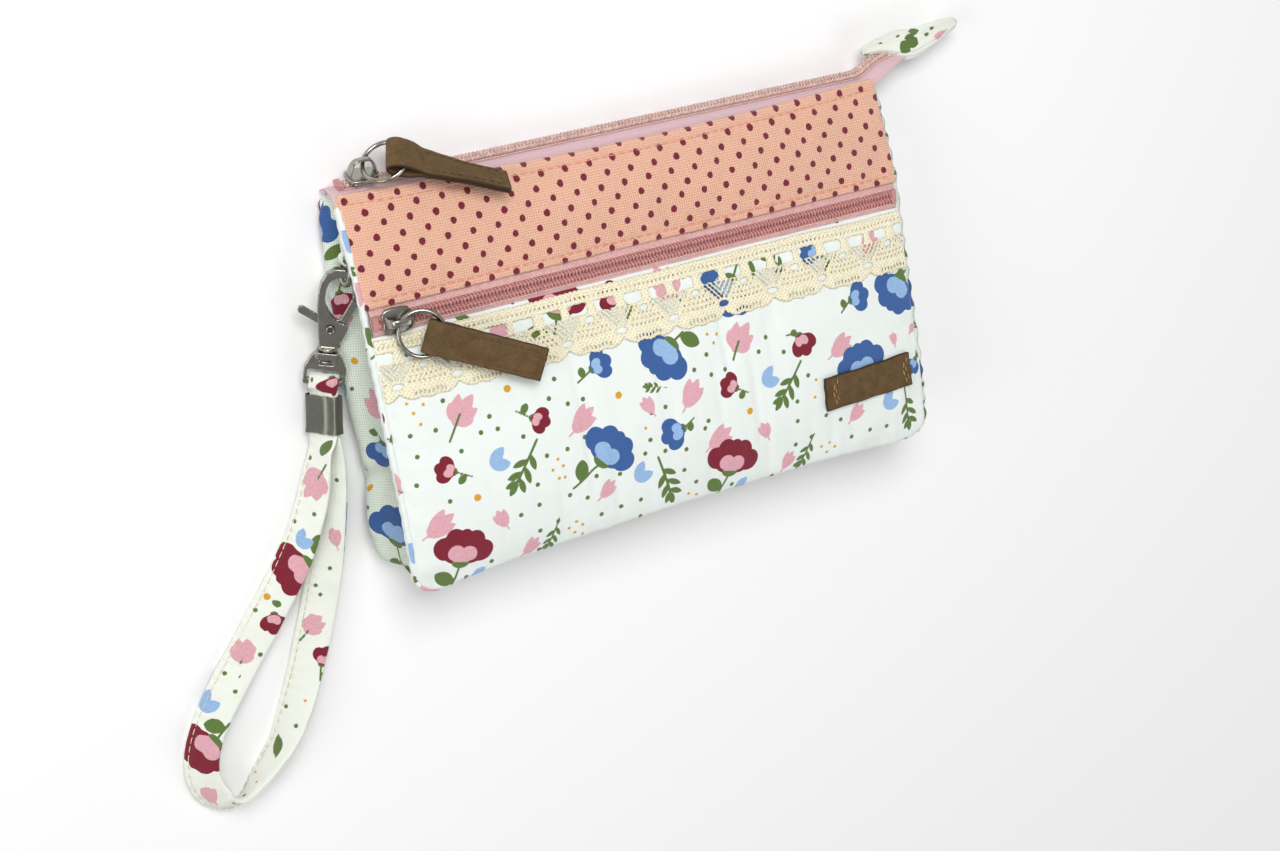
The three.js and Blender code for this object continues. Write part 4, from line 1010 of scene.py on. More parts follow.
def lace_sdf(x, y):
    """Below zero where there is thread."""
    P = LACE_P
    X = (x + 36.7) % P
    e = np.minimum(X, P - X)     # from the line between two fans
    d = np.abs(X - P / 2)        # from the fan's middle line
    sg = np.where(X < P / 2, 1.0, -1.0)
    k = np.clip(e / 4.4, 0, 1)
    low = 0.25 - 2.3 * (1 - (1 - k) ** 2) - 0.3 * np.cos(d * 1.1) * smoothstep(3.5, 6, e)
    pic = 0.34 * np.abs(np.sin(x * np.pi / 1.5 + 0.6 * np.sin(x * 0.4)))
    s = np.maximum((low - pic + 0.2 - y) * 0.85, y - 18.5 - 0.15 * np.sin(x * 3.4))
    hole = []
    # windows under the header
    n = np.floor((X - 6.9 + P / 4) / (P / 2)) + np.floor((x + 36.7) / P) * 2
    w = (X - 6.9 + P / 4) % (P / 2) - P / 4 + 0.25 * np.sin(n * 2.3)
    qx = np.abs(w) - (2.5 + 0.25 * np.sin(n * 1.7)) - 0.12 * (y - 12.1)
    qy = np.abs(y - 12.15 + 0.10 * np.sin(w * 2.2)) - 0.85
    hole.append(np.hypot(np.maximum(qx, 0), np.maximum(qy, 0)) + np.minimum(np.maximum(qx, qy), 0) - 1.02)
    # pin holes in the header
    w2 = (x % 1.7) - 0.85
    hole.append(np.hypot(w2, (y - 15.9) * 0.8) - 0.3)
    # net of small holes over the fans
    for row, (yy, dm) in enumerate(((8.4, 0.0), (6.7, 6.2), (5.0, 6.6), (3.3, 6.8))):
        off = 0.0 if row % 2 else 0.85
        dx = ((d + off) % 1.7) - 0.85
        far = np.where((d < dm) & (e > (yy - 3.3) * 1.25 + 1.6), 0.0, 9.0)
        hole.append(np.hypot(dx, y - yy - 0.05 * d) - 0.33 + far)
    # eyes over each fan and between the fans
    hole.append((np.hypot((X - P / 2) / 1.75, (y - 8.35 + 0.1 * sg) / 1.05) - 1) * 1.05)
    hole.append((np.hypot(e / 2.05, (y - 2.55) / 1.05) - 1) * 1.05)
    # slanting net in the wedge over the lower eye
    for row, yy in enumerate((9.45, 8.3, 7.15, 6.0, 4.85)):
        off = 0.0 if row % 2 else 0.95
        dx = ((e - off) % 1.9) - 0.95
        dy = y - yy
        c_, s_ = math.cos(0.6), math.sin(0.6)
        u, v = dx * c_ + dy * s_, -dx * s_ + dy * c_
        out = np.where((e < (yy - 3.3) * 1.25 + 0.4) & (d > 2.4 + 0.3 * (yy > 9)), 0.0, 9.0)
        hole.append((np.hypot(u / 0.78, v / 0.45) - 1) * 0.5 + out)
    # slits along the fan's rim
    w4 = (x % 1.4) - 0.7
    out = np.where(d < 5.6, 0.0, 9.0)
    hole.append((np.hypot(w4 / 0.34, (y - (low + 1.55)) / 0.62) - 1) * 0.34 + out)
    
    return np.maximum(s, -np.minimum.reduce(hole))


def build_lace():
    st = 0.33
    x0, x1, y0, y1 = -102.4, 102.4, -2.6, 19.8
    nx, ny = int((x1 - x0) / st), int((y1 - y0) / st)
    xs, ys = np.linspace(x0, x1, nx + 1), np.linspace(y0, y1, ny + 1)
    X, Y = np.meshgrid(xs, ys)
    wx = X + 0.35 * bumps(X, Y, 17, 1)
    wy = Y + 0.22 * bumps(X, Y, 21, 2)
    S = lace_sdf(wx, wy)
    edge = np.maximum(np.abs(X) - 102.1, 0) * 3
    S = np.maximum(S, np.abs(X) - 102.1 + 0 * edge)
    Sc = (S[:-1, :-1] + S[1:, :-1] + S[:-1, 1:] + S[1:, 1:]) / 4
    solid = Sc < 0.0
    # move the border's points onto the line
    gy, gx = np.gradient(S, ys, xs)
    g2 = gx * gx + gy * gy + 1e-6
    used_s = np.zeros(S.shape, bool)
    used_h = np.zeros(S.shape, bool)
    for a, b in ((0, 0), (0, 1), (1, 0), (1, 1)):
        used_s[a:a + ny, b:b + nx] |= solid
        used_h[a:a + ny, b:b + nx] |= ~solid
    bd = used_s & (used_h | (S > -0.1))
    mx = np.clip(-S * gx / g2, -0.45 * st, 0.45 * st)
    my = np.clip(-S * gy / g2, -0.45 * st, 0.45 * st)
    X2, Y2 = np.where(bd, X + mx, X), np.where(bd, Y + my, Y)
    inner = np.clip(-S, 0, 1.1) / 1.1
    cord = 0.26 * np.exp(-((wy - 17.2) / 0.85) ** 2) + 0.22 * np.exp(-((wy - 14.7) / 0.7) ** 2) + 0.1 * np.exp(-((wy - 9.9) / 0.4) ** 2)
    twist = np.where(wy > 13.9, np.sin((wx + 0.9 * (wy - 16.6)) * 2 * np.pi / 1.3), 0)
    cloth = np.sin(wx * 2 * np.pi / 1.7) * np.sin(wy * 2 * np.pi / 1.7) * smoothstep(10.5, 8, wy)
    rel = 0.32 * np.sqrt(inner) + cord * (1 + 0.5 * twist) + 0.075 * cloth + 0.05 * bumps(X * 3, Y * 3, 3, 4)
    lift = 0.16 + 0.16 * smoothstep(3, -1, Y) * (1 + bumps(X, Y, 14, 5)) + 0.1 * (1 + bumps(X, Y, 9, 6)) * smoothstep(14, 8, Y)
    base = low_z(X2, np.clip(Y2, -5, 19.4)) - roll(np.maximum(LOWER_TOP - Y2, 0), 0.8) * 0.4 - roll(np.maximum(HALF_W - np.abs(X2), 0), 2.0)
    lo = base + lift
    hi = lo + 0.34 + rel
    mid_edge = np.where(bd, 0.5, 0.0)
    hi = np.where(bd, lo + 0.28, hi)
    idx = -np.ones(S.shape, int)
    pts = np.nonzero(used_s)
    n = len(pts[0])
    idx[pts] = np.arange(n)
    Vt = np.stack([X2[pts], Y2[pts], hi[pts]], -1)
    Vb = np.stack([X2[pts], Y2[pts], lo[pts]], -1)
    j, i = np.nonzero(solid)
    a, b, c, d = idx[j, i], idx[j, i + 1], idx[j + 1, i + 1], idx[j + 1, i]
    Ft = np.stack([a, b, c, d], -1)
    Fb = np.stack([d, c, b, a], -1) + n
    W = []
    pad = np.pad(solid, 1)
    e = pad[1:-1, 1:-1]
    for (dj, di, p, q) in ((-1, 0, a, b), (0, 1, b, c), (1, 0, c, d), (0, -1, d, a)):
        open_ = ~pad[j + 1 + dj, i + 1 + di]
        W.append(np.stack([q[open_], p[open_], p[open_] + n, q[open_] + n], -1))
    F = np.vstack([Ft, Fb] + W)
    ob = make("lace", np.vstack([Vt, Vb]), F, M_LACE, "pouch", "lace", ["lace_trim"])
    uv = np.stack([X[pts], Y[pts]], -1)
    attr(ob, "cuv", np.vstack([uv, uv]))
    # Relief for the lace's colour: the rims and the underside get low values, which the material paints as shade.
    r = (rel - 0.34)[pts]
    attr(ob, "relief", np.concatenate([np.where(bd[pts], -0.3, r), np.full(n, -0.35)]))
    # the two seams that hold it
    x = np.linspace(-101, 101, 800)
    V, F = stitch_geo(np.stack([x, np.full_like(x, 17.3), low_z(x, np.full_like(x, 17.3)) + 0.95], -1), (0, 0.1, 1), 2.3, 0.9, 0.15)
    make("lace_stitch", V, F, M_CTHREAD, "pouch", "lace")


# ---------------------------------------------------------------- the two zips
def coil_row(name, x0, x1, yc, zc, mat, body, O, X, Y, Z, ry=0.98, rz=0.74, pitch=1.45, wire=0.36, phase=0.0, slot="zip_coil", rep=(), rise=None):
    """Spiral of wire along local x in the frame O, X, Y, Z."""
    turns = (x1 - x0) / pitch
    per = 10
    t = np.linspace(0, turns, int(turns * per))
    a = 2 * np.pi * t + phase
    px = x0 + pitch * t + 0.25 * np.sin(a)
    py = yc + ry * np.cos(a)
    pz = zc + rz * np.sin(a)
    P = O + px[:, None] * X + py[:, None] * Y + pz[:, None] * Z
    if rise:
        P = P + rise(P[:, 0])[:, None] * EYV
    V, F = tube("", P, wire, None, None, n=6)
    core = O + np.linspace(x0, x1, 90)[:, None] * X + yc * Y + (zc - 0.15) * Z
    if rise:
        core = core + rise(core[:, 0])[:, None] * EYV
    V2, F2 = tube("", core, 0.55, None, None, n=8)
    V, F = join_geo([(V, F), (V2, F2)])
    ob = make(name, V, F, mat, body, slot, rep)
    return outward(ob)


def bead_row(name, x0, x1, y, z, mat, O, X, Y, Z, pitch=1.45, r=0.3, slot="zip_tape", rise=None):
    n = int((x1 - x0) / pitch * 6)
    t = np.linspace(x0, x1, n)
    rr = r * (0.55 + 0.45 * np.abs(np.sin(t * np.pi / pitch)))
    P = O + t[:, None] * X + (y + 0.12 * np.sin(t * 2 * np.pi / pitch))[:, None] * Y + z * Z
    if rise:
        P = P + rise(P[:, 0])[:, None] * EYV
    V, F = tube("", P, rr, None, None, n=6)
    ob = make(name, V, F, mat, "pouch", slot)
    return outward(ob)


def tape(name, x0, x1, prof, O, X, Y, Z, mat, rep, thick=0.5, nx=None, warp=None):
    """Woven tape: prof is a list of (y, z) across it, swept along local x."""
    nx = nx or (240)
    prof = catmull(np.array(prof, float), 25)
    s = np.concatenate([[0], np.cumsum(np.linalg.norm(np.diff(prof, axis=0), axis=1))])
    tg = np.gradient(prof, axis=0)
    nn = np.stack([-tg[:, 1], tg[:, 0]], -1) / np.linalg.norm(tg, axis=1)[:, None]
    if nn[:, 1].mean() < 0:
        nn = -nn
    xs = np.linspace(x0, x1, nx + 1)
    top, bot = [], []
    G = []
    for k in (0.0, -thick):
        q = prof + nn * k
        Q = O + xs[None, :, None] * X + q[:, 0][:, None, None] * Y + q[:, 1][:, None, None] * Z
        wv = 0.10 * np.sin(xs * 0.31)[None, :] * np.sin(s / max(s[-1], 1) * 2)[:, None]
        Q = Q + wv[..., None] * Z
        if warp is not None:
            Q = warp(Q, xs)
        G.append(Q)
    n = G[0].shape[0] * G[0].shape[1]
    V = np.vstack([G[0].reshape(-1, 3), G[1].reshape(-1, 3)])
    nv = len(prof) - 1
    F = [grid_faces(nx, nv), grid_faces(nx, nv, n, True)]
    t = lambda i, j: j * (nx + 1) + i
    ring = [(i, 0) for i in range(nx)] + [(nx, j) for j in range(nv)] + [(i, nv) for i in range(nx, 0, -1)] + [(0, j) for j in range(nv, 0, -1)]
    W = [[t(*ring[q]), t(*ring[q]) + n, t(*ring[(q + 1) % len(ring)]) + n, t(*ring[(q + 1) % len(ring)])] for q in range(len(ring))]
    ob = make(name, V, np.vstack(F + [np.array(W)]), mat, "pouch", "zip_tape", rep)
    outward(ob)
    uv = np.stack(np.broadcast_arrays(xs[None, :], s[:, None]), -1).reshape(-1, 2)
    attr(ob, "cuv", np.vstack([uv, uv]))
    return ob


FZ = float(front_z(0, 24.0))
FO = np.array([0, ZIP_Y, FZ])
EX, EYV, EZV = np.eye(3)
SL = -0.1                                    # the front's slope across the zip
FYV = np.array([0, 1, SL]) / math.hypot(1, SL)
FZV = np.array([0, -SL, 1]) / math.hypot(1, SL)
T_LEAN = math.radians(20)
T_OUT = np.array([0, math.cos(T_LEAN), math.sin(T_LEAN)])
T_FWD = np.array([0, -math.sin(T_LEAN), math.cos(T_LEAN)])
TO = np.array([0, 67.4, 9.2])


def build_zips():
    # front zip; the tapes rise in a soft ridge beside the coil
    tape("front_tape_low", -101.5, 101.5, [(-8.4, -2.3), (-6.5, -2.2), (-4.6, -1.7), (-3.2, -0.9), (-2.3, -0.85), (-1.2, -1.25), (-0.05, -1.3)], FO, EX, FYV, FZV, M_TAPE, ["front_tape_lower"])
    tape("front_tape_high", -101.5, 101.5, [(0.05, -1.3), (1.2, -1.25), (2.3, -0.85), (3.2, -0.9), (4.6, -1.7), (6.2, -2.3)], FO, EX, FYV, FZV, M_TAPE, ["front_tape_upper"])
    coil_row("front_coil_low", -99.5, 99.5, -1.22, -0.52, M_COIL, "pouch", FO, EX, FYV, FZV, rep=["front_coil_lower"], pitch=1.28, wire=0.33)
    coil_row("front_coil_high", -99.5, 99.5, 1.22, -0.52, M_COIL, "pouch", FO, EX, FYV, FZV, phase=np.pi, rep=["front_coil_upper"], pitch=1.28, wire=0.33)
    for nm, y in (("front_chain_a", -2.75), ("front_chain_b", 2.75)):
        bead_row(nm, -100, 100, y, -0.62, M_ZTHREAD, FO, EX, FYV, FZV, r=0.28)
    # top zip; the tape bends up at the far end and runs into the end tab
    TX = EX

    def lift(x):
        return np.interp(x, [97.9, 100, 103, 107, 111, 115, 124], [0, 0.7, 2.4, 4.5, 5.5, 5.8, 5.9])

    def rise_front(Q, xs):
        v = np.linspace(0, 1, Q.shape[0])[:, None] ** 1.5
        outer = np.interp(xs, [98, 104, 112, 121], [0, 0.4, 4.6, 8.2])[None]
        dz = np.interp(xs, [98, 104, 112, 121], [0, 0.0, -1.6, -3.4])[None] * v
        dy = lift(xs)[None] * (1 - v) + outer * v
        return Q + np.stack([0 * dy, dy, dz], -1)

    def rise_back(Q, xs):
        v = np.linspace(1, 0, Q.shape[0])[:, None]
        k = np.interp(xs, [99, 105, 119], [0, 0.12, 0.85])[None] * v
        d = Q[-1:] - Q
        return Q + d * k[..., None] + lift(xs)[None, :, None] * np.array([0, 1.0, 0.0])

    tape("top_tape_a", -104, 121, [(0.1, -1.05), (1.0, -1.0), (2.3, -1.05), (4.0, -1.5), (5.6, -2.6), (6.4, -3.6)], TO, TX, T_FWD, T_OUT, M_TAPE_TOP, ["top_tape_front"], warp=rise_front)
    tape("top_tape_b", -104, 119, [(-6.9, -4.7), (-5.2, -3.4), (-3.4, -2.1), (-1.8, -1.3), (-1.0, -1.05), (-0.1, -1.05)], TO, TX, T_FWD, T_OUT, M_TAPE_TOP, ["top_tape_back"], warp=rise_back)
    coil_row("top_coil_a", -98.5, 117, 0.98, -0.02, M_COIL_TOP, "pouch", TO, TX, T_FWD, T_OUT, rep=["top_coil_front"], rise=lift, pitch=1.3, wire=0.31, ry=0.74)
    coil_row("top_coil_b", -98.5, 117, -0.98, -0.02, M_COIL_TOP, "pouch", TO, TX, T_FWD, T_OUT, phase=np.pi, rep=["top_coil_back"], rise=lift, pitch=1.3, wire=0.31, ry=0.74)
    for nm, y in (("top_chain_a", -2.7), ("top_chain_b", 2.7)):
        bead_row(nm, -98.5, 116, y, -0.55, M_ZTHREAD, TO, TX, T_FWD, T_OUT, r=0.26, rise=lift)


# ------------------------------------------------------------ rounded plates
def outline_curve(pts, per=5):
    P = np.array(pts, float)
    Q = np.vstack([P[-2:], P, P[:3]])
    C = catmull(Q, (len(Q) - 1) * per + 1)
    return C[2 * per:(2 + len(P)) * per]


def soft_plate(name, pts, z0, z1, r, O, X, Y, Z, mats, body, per=5, smooth_outline=True, dome=0.0, **kw):
    """Plate with rounded rims; the outline is in local x, y (mm)."""
    C = outline_curve(pts, per) if smooth_outline else np.array(pts, float)
    d = np.roll(C, -1, 0) - np.roll(C, 1, 0)
    nn = np.stack([d[:, 1], -d[:, 0]], -1)
    nn /= np.linalg.norm(nn, axis=1)[:, None] + 1e-9
    area = 0.5 * np.sum(C[:, 0] * np.roll(C[:, 1], -1) - np.roll(C[:, 0], -1) * C[:, 1])
    if area < 0:
        nn = -nn
    rings = []
    for q in np.linspace(0, np.pi / 2, 4):
        rings.append((r * (1 - math.sin(q)), z0 + r * (1 - math.cos(q))))
    for q in np.linspace(0, np.pi / 2, 4):
        rings.append((r * (1 - math.cos(q)), z1 - r * (1 - math.sin(q))))
    V = []
    n = len(C)
    for off, z in rings:
        p = C - nn * off
        V.append(np.hstack([p, np.full((n, 1), z)]))
    c = C.mean(0)
    for s, z in ((0.6, z1 + dome * 0.7), (0.25, z1 + dome)):
        p = c + (C - nn * r - c) * s
        V.append(np.hstack([p, np.full((n, 1), z)]))
    V = np.vstack(V)
    F = grid_faces(n, len(rings) + 1, wrap_u=True).tolist()
    F.append(list(range(n))[::-1])
    F.append(list(range((len(rings) + 1) * n, (len(rings) + 2) * n)))
    W = O + V[:, :1] * X + V[:, 1:2] * Y + V[:, 2:] * Z
    ob = make(name, W, F, mats, body, **kw)
    return outward(ob)


def torus_obj(name, O, X, Y, R, r, mat, body, squash_y=1.0, **kw):
    a = np.linspace(0, 2 * np.pi, 72, endpoint=False)
    P = O + R * np.cos(a)[:, None] * X + R * squash_y * np.sin(a)[:, None] * Y
    return tube_obj(name, P, r, mat, body, n=14, closed=True, **kw)


def slider(name, O, X, Y, Z, clear, body, rep):
    """Zip slider: two rounded plates round the coil and an arched bridge."""
    face = [[-5.7, -2.2], [-4.6, -3.9], [-1.5, -4.4], [2.0, -4.0], [4.6, -2.7], [5.6, 0], [4.6, 2.7], [2.0, 4.0], [-1.5, 4.4], [-4.6, 3.9], [-5.7, 2.2], [-5.4, 0]]
    soft_plate(name + "_face", face, 0.35, 1.55, 0.42, O, X, Y, Z, M_METAL, body, dome=0.18, slot="metal", replaces=[rep])
    soft_plate(name + "_under", [[p, q * 0.95] for p, q in face], -4.2, -3.2, 0.35, O, X, Y, Z, M_METAL, body, slot="metal")
    loc = lambda P: O + P[:, :1] * X + P[:, 1:2] * Y + P[:, 2:] * Z
    neck = loc(np.array([[2.3, 0, -3.4], [2.3, 0, -1.5], [2.3, 0, 0.6]]))
    sweep(name + "_neck", neck, [X] * 3, [Y] * 3, 1.1, 0.25, M_METAL, body, slot="metal")
    t = np.linspace(0, 1, 33)
    h = clear + 1.5 + 0.55
    px = -4.7 + 9.4 * t
    pz = 1.2 + (h - 1.2) * (1 - np.abs(2 * t - 1) ** 4.5)
    P = loc(np.stack([px, 0 * t, pz], -1))
    T = np.gradient(P, axis=0)
    T /= np.linalg.norm(T, axis=1)[:, None]
    N = np.cross(T, np.broadcast_to(Y, P.shape))
    sweep(name + "_bridge", P, np.broadcast_to(Y, P.shape), N, 1.15 + 0.7 * np.abs(2 * t - 1) ** 3, 0.48, M_METAL, body, n=16, power=3, slot="metal")
    # side flanges that hold the coil
    for s in (-1, 1):
        q = np.linspace(-4.2, 4.0, 14)
        P = loc(np.stack([q, s * (3.95 - 0.06 * (q - 0.5) ** 2 * (q > 0)), np.full_like(q, 0.25)], -1))
        tube_obj(name + ("_rim_a" if s < 0 else "_rim_b"), P, 0.42, M_METAL, body, n=8, slot="metal")


def leather_pull(name, O, X, Y, Z, body, rep, bend=0.0, curl=0.0):
    """Folded strip of leather: round the ring's wire at the left, stitched flat beyond."""
    half = np.array([[42.0, 0.72], [36, 0.74], [28, 0.72], [20, 0.74], [15, 0.78], [12.3, 1.0], [10.2, 1.75], [8, 2.35], [5.2, 2.62], [3.0, 2.3], [1.4, 1.35], [0.72, 0.0]])
    low = half[::-1][1:] * [1, -1]
    path = catmull(np.vstack([half, low]), 150)
    px, py = path[:, 0], path[:, 1]
    droop = bend * ((px - 12).clip(0) / 30) ** 2
    P = O + px[:, None] * X + (py + droop)[:, None] * Y
    T = np.gradient(P, axis=0)
    T /= np.linalg.norm(T, axis=1)[:, None]
    W = np.broadcast_to(Z, P.shape)
    tw = curl * (px - 3).clip(0, 25) / 25
    W = W * np.cos(tw)[:, None] + np.cross(T, W) * np.sin(tw)[:, None] * np.sign(T @ X)[:, None]
    N = np.cross(T, W)
    n = 20
    hw = 5.7 + 0.06 * np.sin(px * 0.9)
    ob = sweep(name, P, W, N, hw, 0.64, M_LEATHER, body, n=n, power=7, slot="leather", replaces=[rep])
    a = np.linspace(0, 2 * np.pi, n, endpoint=False)
    ex = np.abs(np.sign(np.cos(a)) * np.abs(np.cos(a)) ** (2 / 7))
    e = np.tile((ex > 0.965).astype(float), len(P))
    e[:n] = 1
    e[-n:] = 1
    attr(ob, "raw", e)
    # stitched rectangle on both faces
    for side, s in (("a", 1), ("b", -1)):
        line = np.concatenate([np.stack([np.linspace(12.6, 39.6, 60), np.full(60, -3.9)], -1), np.stack([np.full(16, 39.6), np.linspace(-3.9, 3.9, 16)], -1)[1:],
                               np.stack([np.linspace(39.6, 12.6, 60), np.full(60, 3.9)], -1)[1:], np.stack([np.full(16, 12.6), np.linspace(3.9, -3.9, 16)], -1)[1:]])
        dr = bend * ((line[:, 0] - 12).clip(0) / 30) ** 2
        tl = curl * (line[:, 0] - 3).clip(0, 25) / 25
        rise = s * (0.72 + 0.64)
        Q = O + line[:, :1] * X + (rise * np.cos(tl) + dr - line[:, 1] * np.sin(tl) * 1.0)[:, None] * Y + (line[:, 1] * np.cos(tl) + rise * np.sin(tl))[:, None] * Z
        V, F = stitch_geo(Q, Y * s, 1.9, 0.8, 0.27, 0.3)
        make(name + "_stitch_" + side, V, F, M_THREAD, body, "leather")
    return ob


FR = {
    "FRONT_SLIDER": [-92.8, 24, 26.1],
    "SIDE_R": 4.2,
    "STRAP_END": [-118.1, -13.6, 7.7],
    "TOP_SLIDER": [-91.5, 68.1048, 9.4565],
    "cO": [-110.9, 21.95, 10.3],
    "cX": [0.9222, -0.2696, 0.277],
    "cY": [0.2263, 0.9575, 0.1788],
    "cZ": [-0.3135, -0.1022, 0.9441],
    "dC": [-0.166, -0.9849, 0.05],
    "fAcross": [0.438, 0.899, 0],
    "fBridge": [-92.6, 23.8, 29.25],
    "fCentre": [-87.1744, 18.9319, 31.3931],
    "fDir": [0.899, -0.438, 0],
    "fRadial": [0.8597, -0.4189, 0.2924],
    "fTabDir": [0.8914, -0.4343, 0.1296],
    "fWire": [-80.6407, 15.7486, 33.6151],
    "nC": [-0.7755, 0.1617, 0.6103],
    "sDown": [-0.225, -0.9744, 0],
    "sHinge": [-102.9, 44.4, 14.2],
    "tAcross": [0.3655, 0.6481, -0.6681],
    "tBridge": [-91.5, 72.3804, 11.0127],
    "tCentre": [-85.1962, 73.1324, 15.1908],
    "tFwd": [0, -0.342, 0.9397],
    "tOut": [0, 0.9397, 0.342],
    "tRadial": [0.8294, 0.0989, 0.5498],
    "tTabDir": [0.9098, -0.4005, 0.1092],
    "tWire2": [-78.8924, 73.8844, 19.369],
    "wC": [0.6091, -0.0625, 0.7906],
    "bar": [-115.2553, 3.5177, 6.8585],
    "hookHinge": [-104.7896, 36.2153, 14.2],
}


def build_pulls():
    A = np.array
    # front
    O = A(FR["FRONT_SLIDER"])
    slider("front_slider", O, EX, EYV, EZV, 3.3, "front_slider", "front_slider_body")
    torus_obj("front_ring_wire", A(FR["fCentre"]), A(FR["fRadial"]), A(FR["fAcross"]), 7.6, 0.78, M_METAL, "front_ring", slot="metal", replaces=["front_pull_ring"])
    td, ac = A(FR["fTabDir"]), A(FR["fAcross"])
    up = np.cross(td, ac)
    leather_pull("front_pull_leather", A(FR["fWire"]) - 6.9 * td, td, up, -ac, "front_pull", "front_leather_pull", bend=0.25, curl=-0.03)
    # top
    O = A(FR["TOP_SLIDER"])
    slider("top_slider", O, EX, -T_FWD, T_OUT, 4.7, "top_slider", "top_slider_body")
    torus_obj("top_ring_wire", A(FR["tCentre"]), A(FR["tRadial"]), A(FR["tAcross"]), 7.6, 0.78, M_METAL, "top_ring", slot="metal", replaces=["top_pull_ring"])
    td, ac, ra = A(FR["tTabDir"]), A(FR["tAcross"]), A(FR["tRadial"])
    up = np.cross(td, ac)
    leather_pull("top_pull_leather", A(FR["tWire2"]) - 6.9 * td + up * (-0.85 * np.sign(ra @ up)), td, up, -ac, "top_pull", "top_leather_pull", bend=0.5, curl=-0.4)
    # side ring
    torus_obj("side_ring_wire", A(FR["sHinge"]) + 4.2 * A(FR["sDown"]), A(FR["sDown"]), EZV, 4.2, 0.73, M_METAL, "side_ring", slot="metal", replaces=["side_ring"])
    h = A(FR["sHinge"])
    a = np.linspace(math.radians(76), math.radians(-256), 40)
    loop = np.stack([2.0 * np.cos(a), 2.0 * np.sin(a)], -1)
    pts = np.vstack([[[0.5, 8.0], [0.5, 5.5], [0.5, 3.2]], loop, [[-0.5, 3.2], [-0.5, 5.5], [-0.5, 8.0]]])
    pts = catmull(pts, 120)
    P = np.column_stack([pts, np.zeros(len(pts))]) + h
    T = np.gradient(P, axis=0)
    T /= np.linalg.norm(T, axis=1)[:, None]
    W = np.broadcast_to(EZV, P.shape)
    ob = sweep("ring_ribbon", P, W, np.cross(T, W), 1.65, 0.42, M_GUSSET, "pouch", n=14, power=5, slot="print_fabric", replaces=["side_ring_tab"])
    s = np.concatenate([[0], np.cumsum(np.linalg.norm(np.diff(P, axis=0), axis=1))])
    aa = np.linspace(0, 2 * np.pi, 14, endpoint=False)
    paint(ob, np.stack([np.repeat(s, 14) - 40, np.tile(1.6 * np.cos(aa), len(P)) + 8], -1))
    # leather label
    nx, ny = 72, 24
    X, Y = np.meshgrid(np.linspace(57.6, 95.9, nx + 1), np.linspace(-44.5, -32.3, ny + 1))
    u, v = (X - 57.6) / 38.3, (Y + 44.5) / 12.2
    lift = 0.35 + 0.22 * np.sin(u * 5) * np.abs(v - 0.5) * 2 + 0.5 * (np.exp(-u * 14) + np.exp(-(1 - u) * 14)) * np.abs(v - 0.5)
    Yw = Y + 0.12 * np.sin(X * 0.5)
    Xw = X + 0.12 * np.sin(Y * 1.1)
    zb = low_z(X, Y) * 0.35 + blur(low_z(X, Y), 30) * 0.65
    d = np.minimum(np.minimum(X - 57.6, 95.9 - X), np.minimum(Y + 44.5, -32.3 - Y))
    top = np.stack([Xw, Yw, zb + lift + 1.35 - roll(d, 0.3) * 0.8], -1)
    bot = np.stack([Xw, Yw, zb + lift], -1)
    V, F, n0 = slab(top, bot, nx, ny, 6)
    ob = make("label_leather", V, F, M_LEATHER, "pouch", "leather", ["leather_label"])
    outward(ob)
    e = np.ones(len(V))
    e[:n0] = (d.ravel() < 0.02)
    attr(ob, "raw", e)
    zt = lambda x, y: grid_sample(zb + lift + 1.35, 57.6, 95.9, -44.5, -32.3, x, y)
    G = []
    for xc in (61.2, 92.6):
        y = np.linspace(-43.2, -33.6, 30)
        x = xc + 0.5 * np.sin(y * 0.7)
        G.append(stitch_geo(np.stack([x, y, zt(x, y) + 0.05], -1), (0, 0, 1), 2.0, 0.9, 0.22, 0.3))
        G.append(stitch_geo(np.stack([x + 1.0, y + 0.6, zt(x, y) + 0.12], -1), (0, 0, 1), 1.7, 1.5, 0.18, 0.3, start=1.2))
    V, F = join_geo(G)
    make("label_stitch", V, F, M_TTHREAD, "pouch", "leather")


# --------------------------------------------------- gussets, back and edges
def gusset_x(y, t):
    out = 4.2 * np.sin(np.pi * np.minimum(1, t / 0.34))
    inward = np.interp(y, [-60, -40, -10, 18, 48, 60], [2.5, 5.5, 4.0, 7.0, 7.0, 2.0])
    return 103.6 + out * np.interp(y, [-64, -50, 40, 64], [0.6, 1, 1, 0.5]) - inward * np.sin(np.pi * np.maximum(0, (t - 0.34) / 0.66))


def closed_skin(name, A, B, mats, body, slot, rep, uv, painter=None):
    """Closed mesh between two grids (nv+1, nu+1, 3)."""
    nv, nu = A.shape[0] - 1, A.shape[1] - 1
    n = (nu + 1) * (nv + 1)
    V = np.vstack([A.reshape(-1, 3), B.reshape(-1, 3)])
    t = lambda i, j: j * (nu + 1) + i
    ring = [(i, 0) for i in range(nu)] + [(nu, j) for j in range(nv)] + [(i, nv) for i in range(nu, 0, -1)] + [(0, j) for j in range(nv, 0, -1)]
    W = [[t(*ring[q]), t(*ring[q]) + n, t(*ring[(q + 1) % len(ring)]) + n, t(*ring[(q + 1) % len(ring)])] for q in range(len(ring))]
    F = np.vstack([grid_faces(nu, nv), grid_faces(nu, nv, n, True), np.array(W)])
    ob = make(name, V, F, mats, body, slot, rep)
    outward(ob)
    u = np.asarray(uv).reshape(-1, 2)
    (painter or paint)(ob, np.vstack([u, u]))
    return ob


def own(items):
    return [(m[0], np.array(m[1:], float)) for m in items]


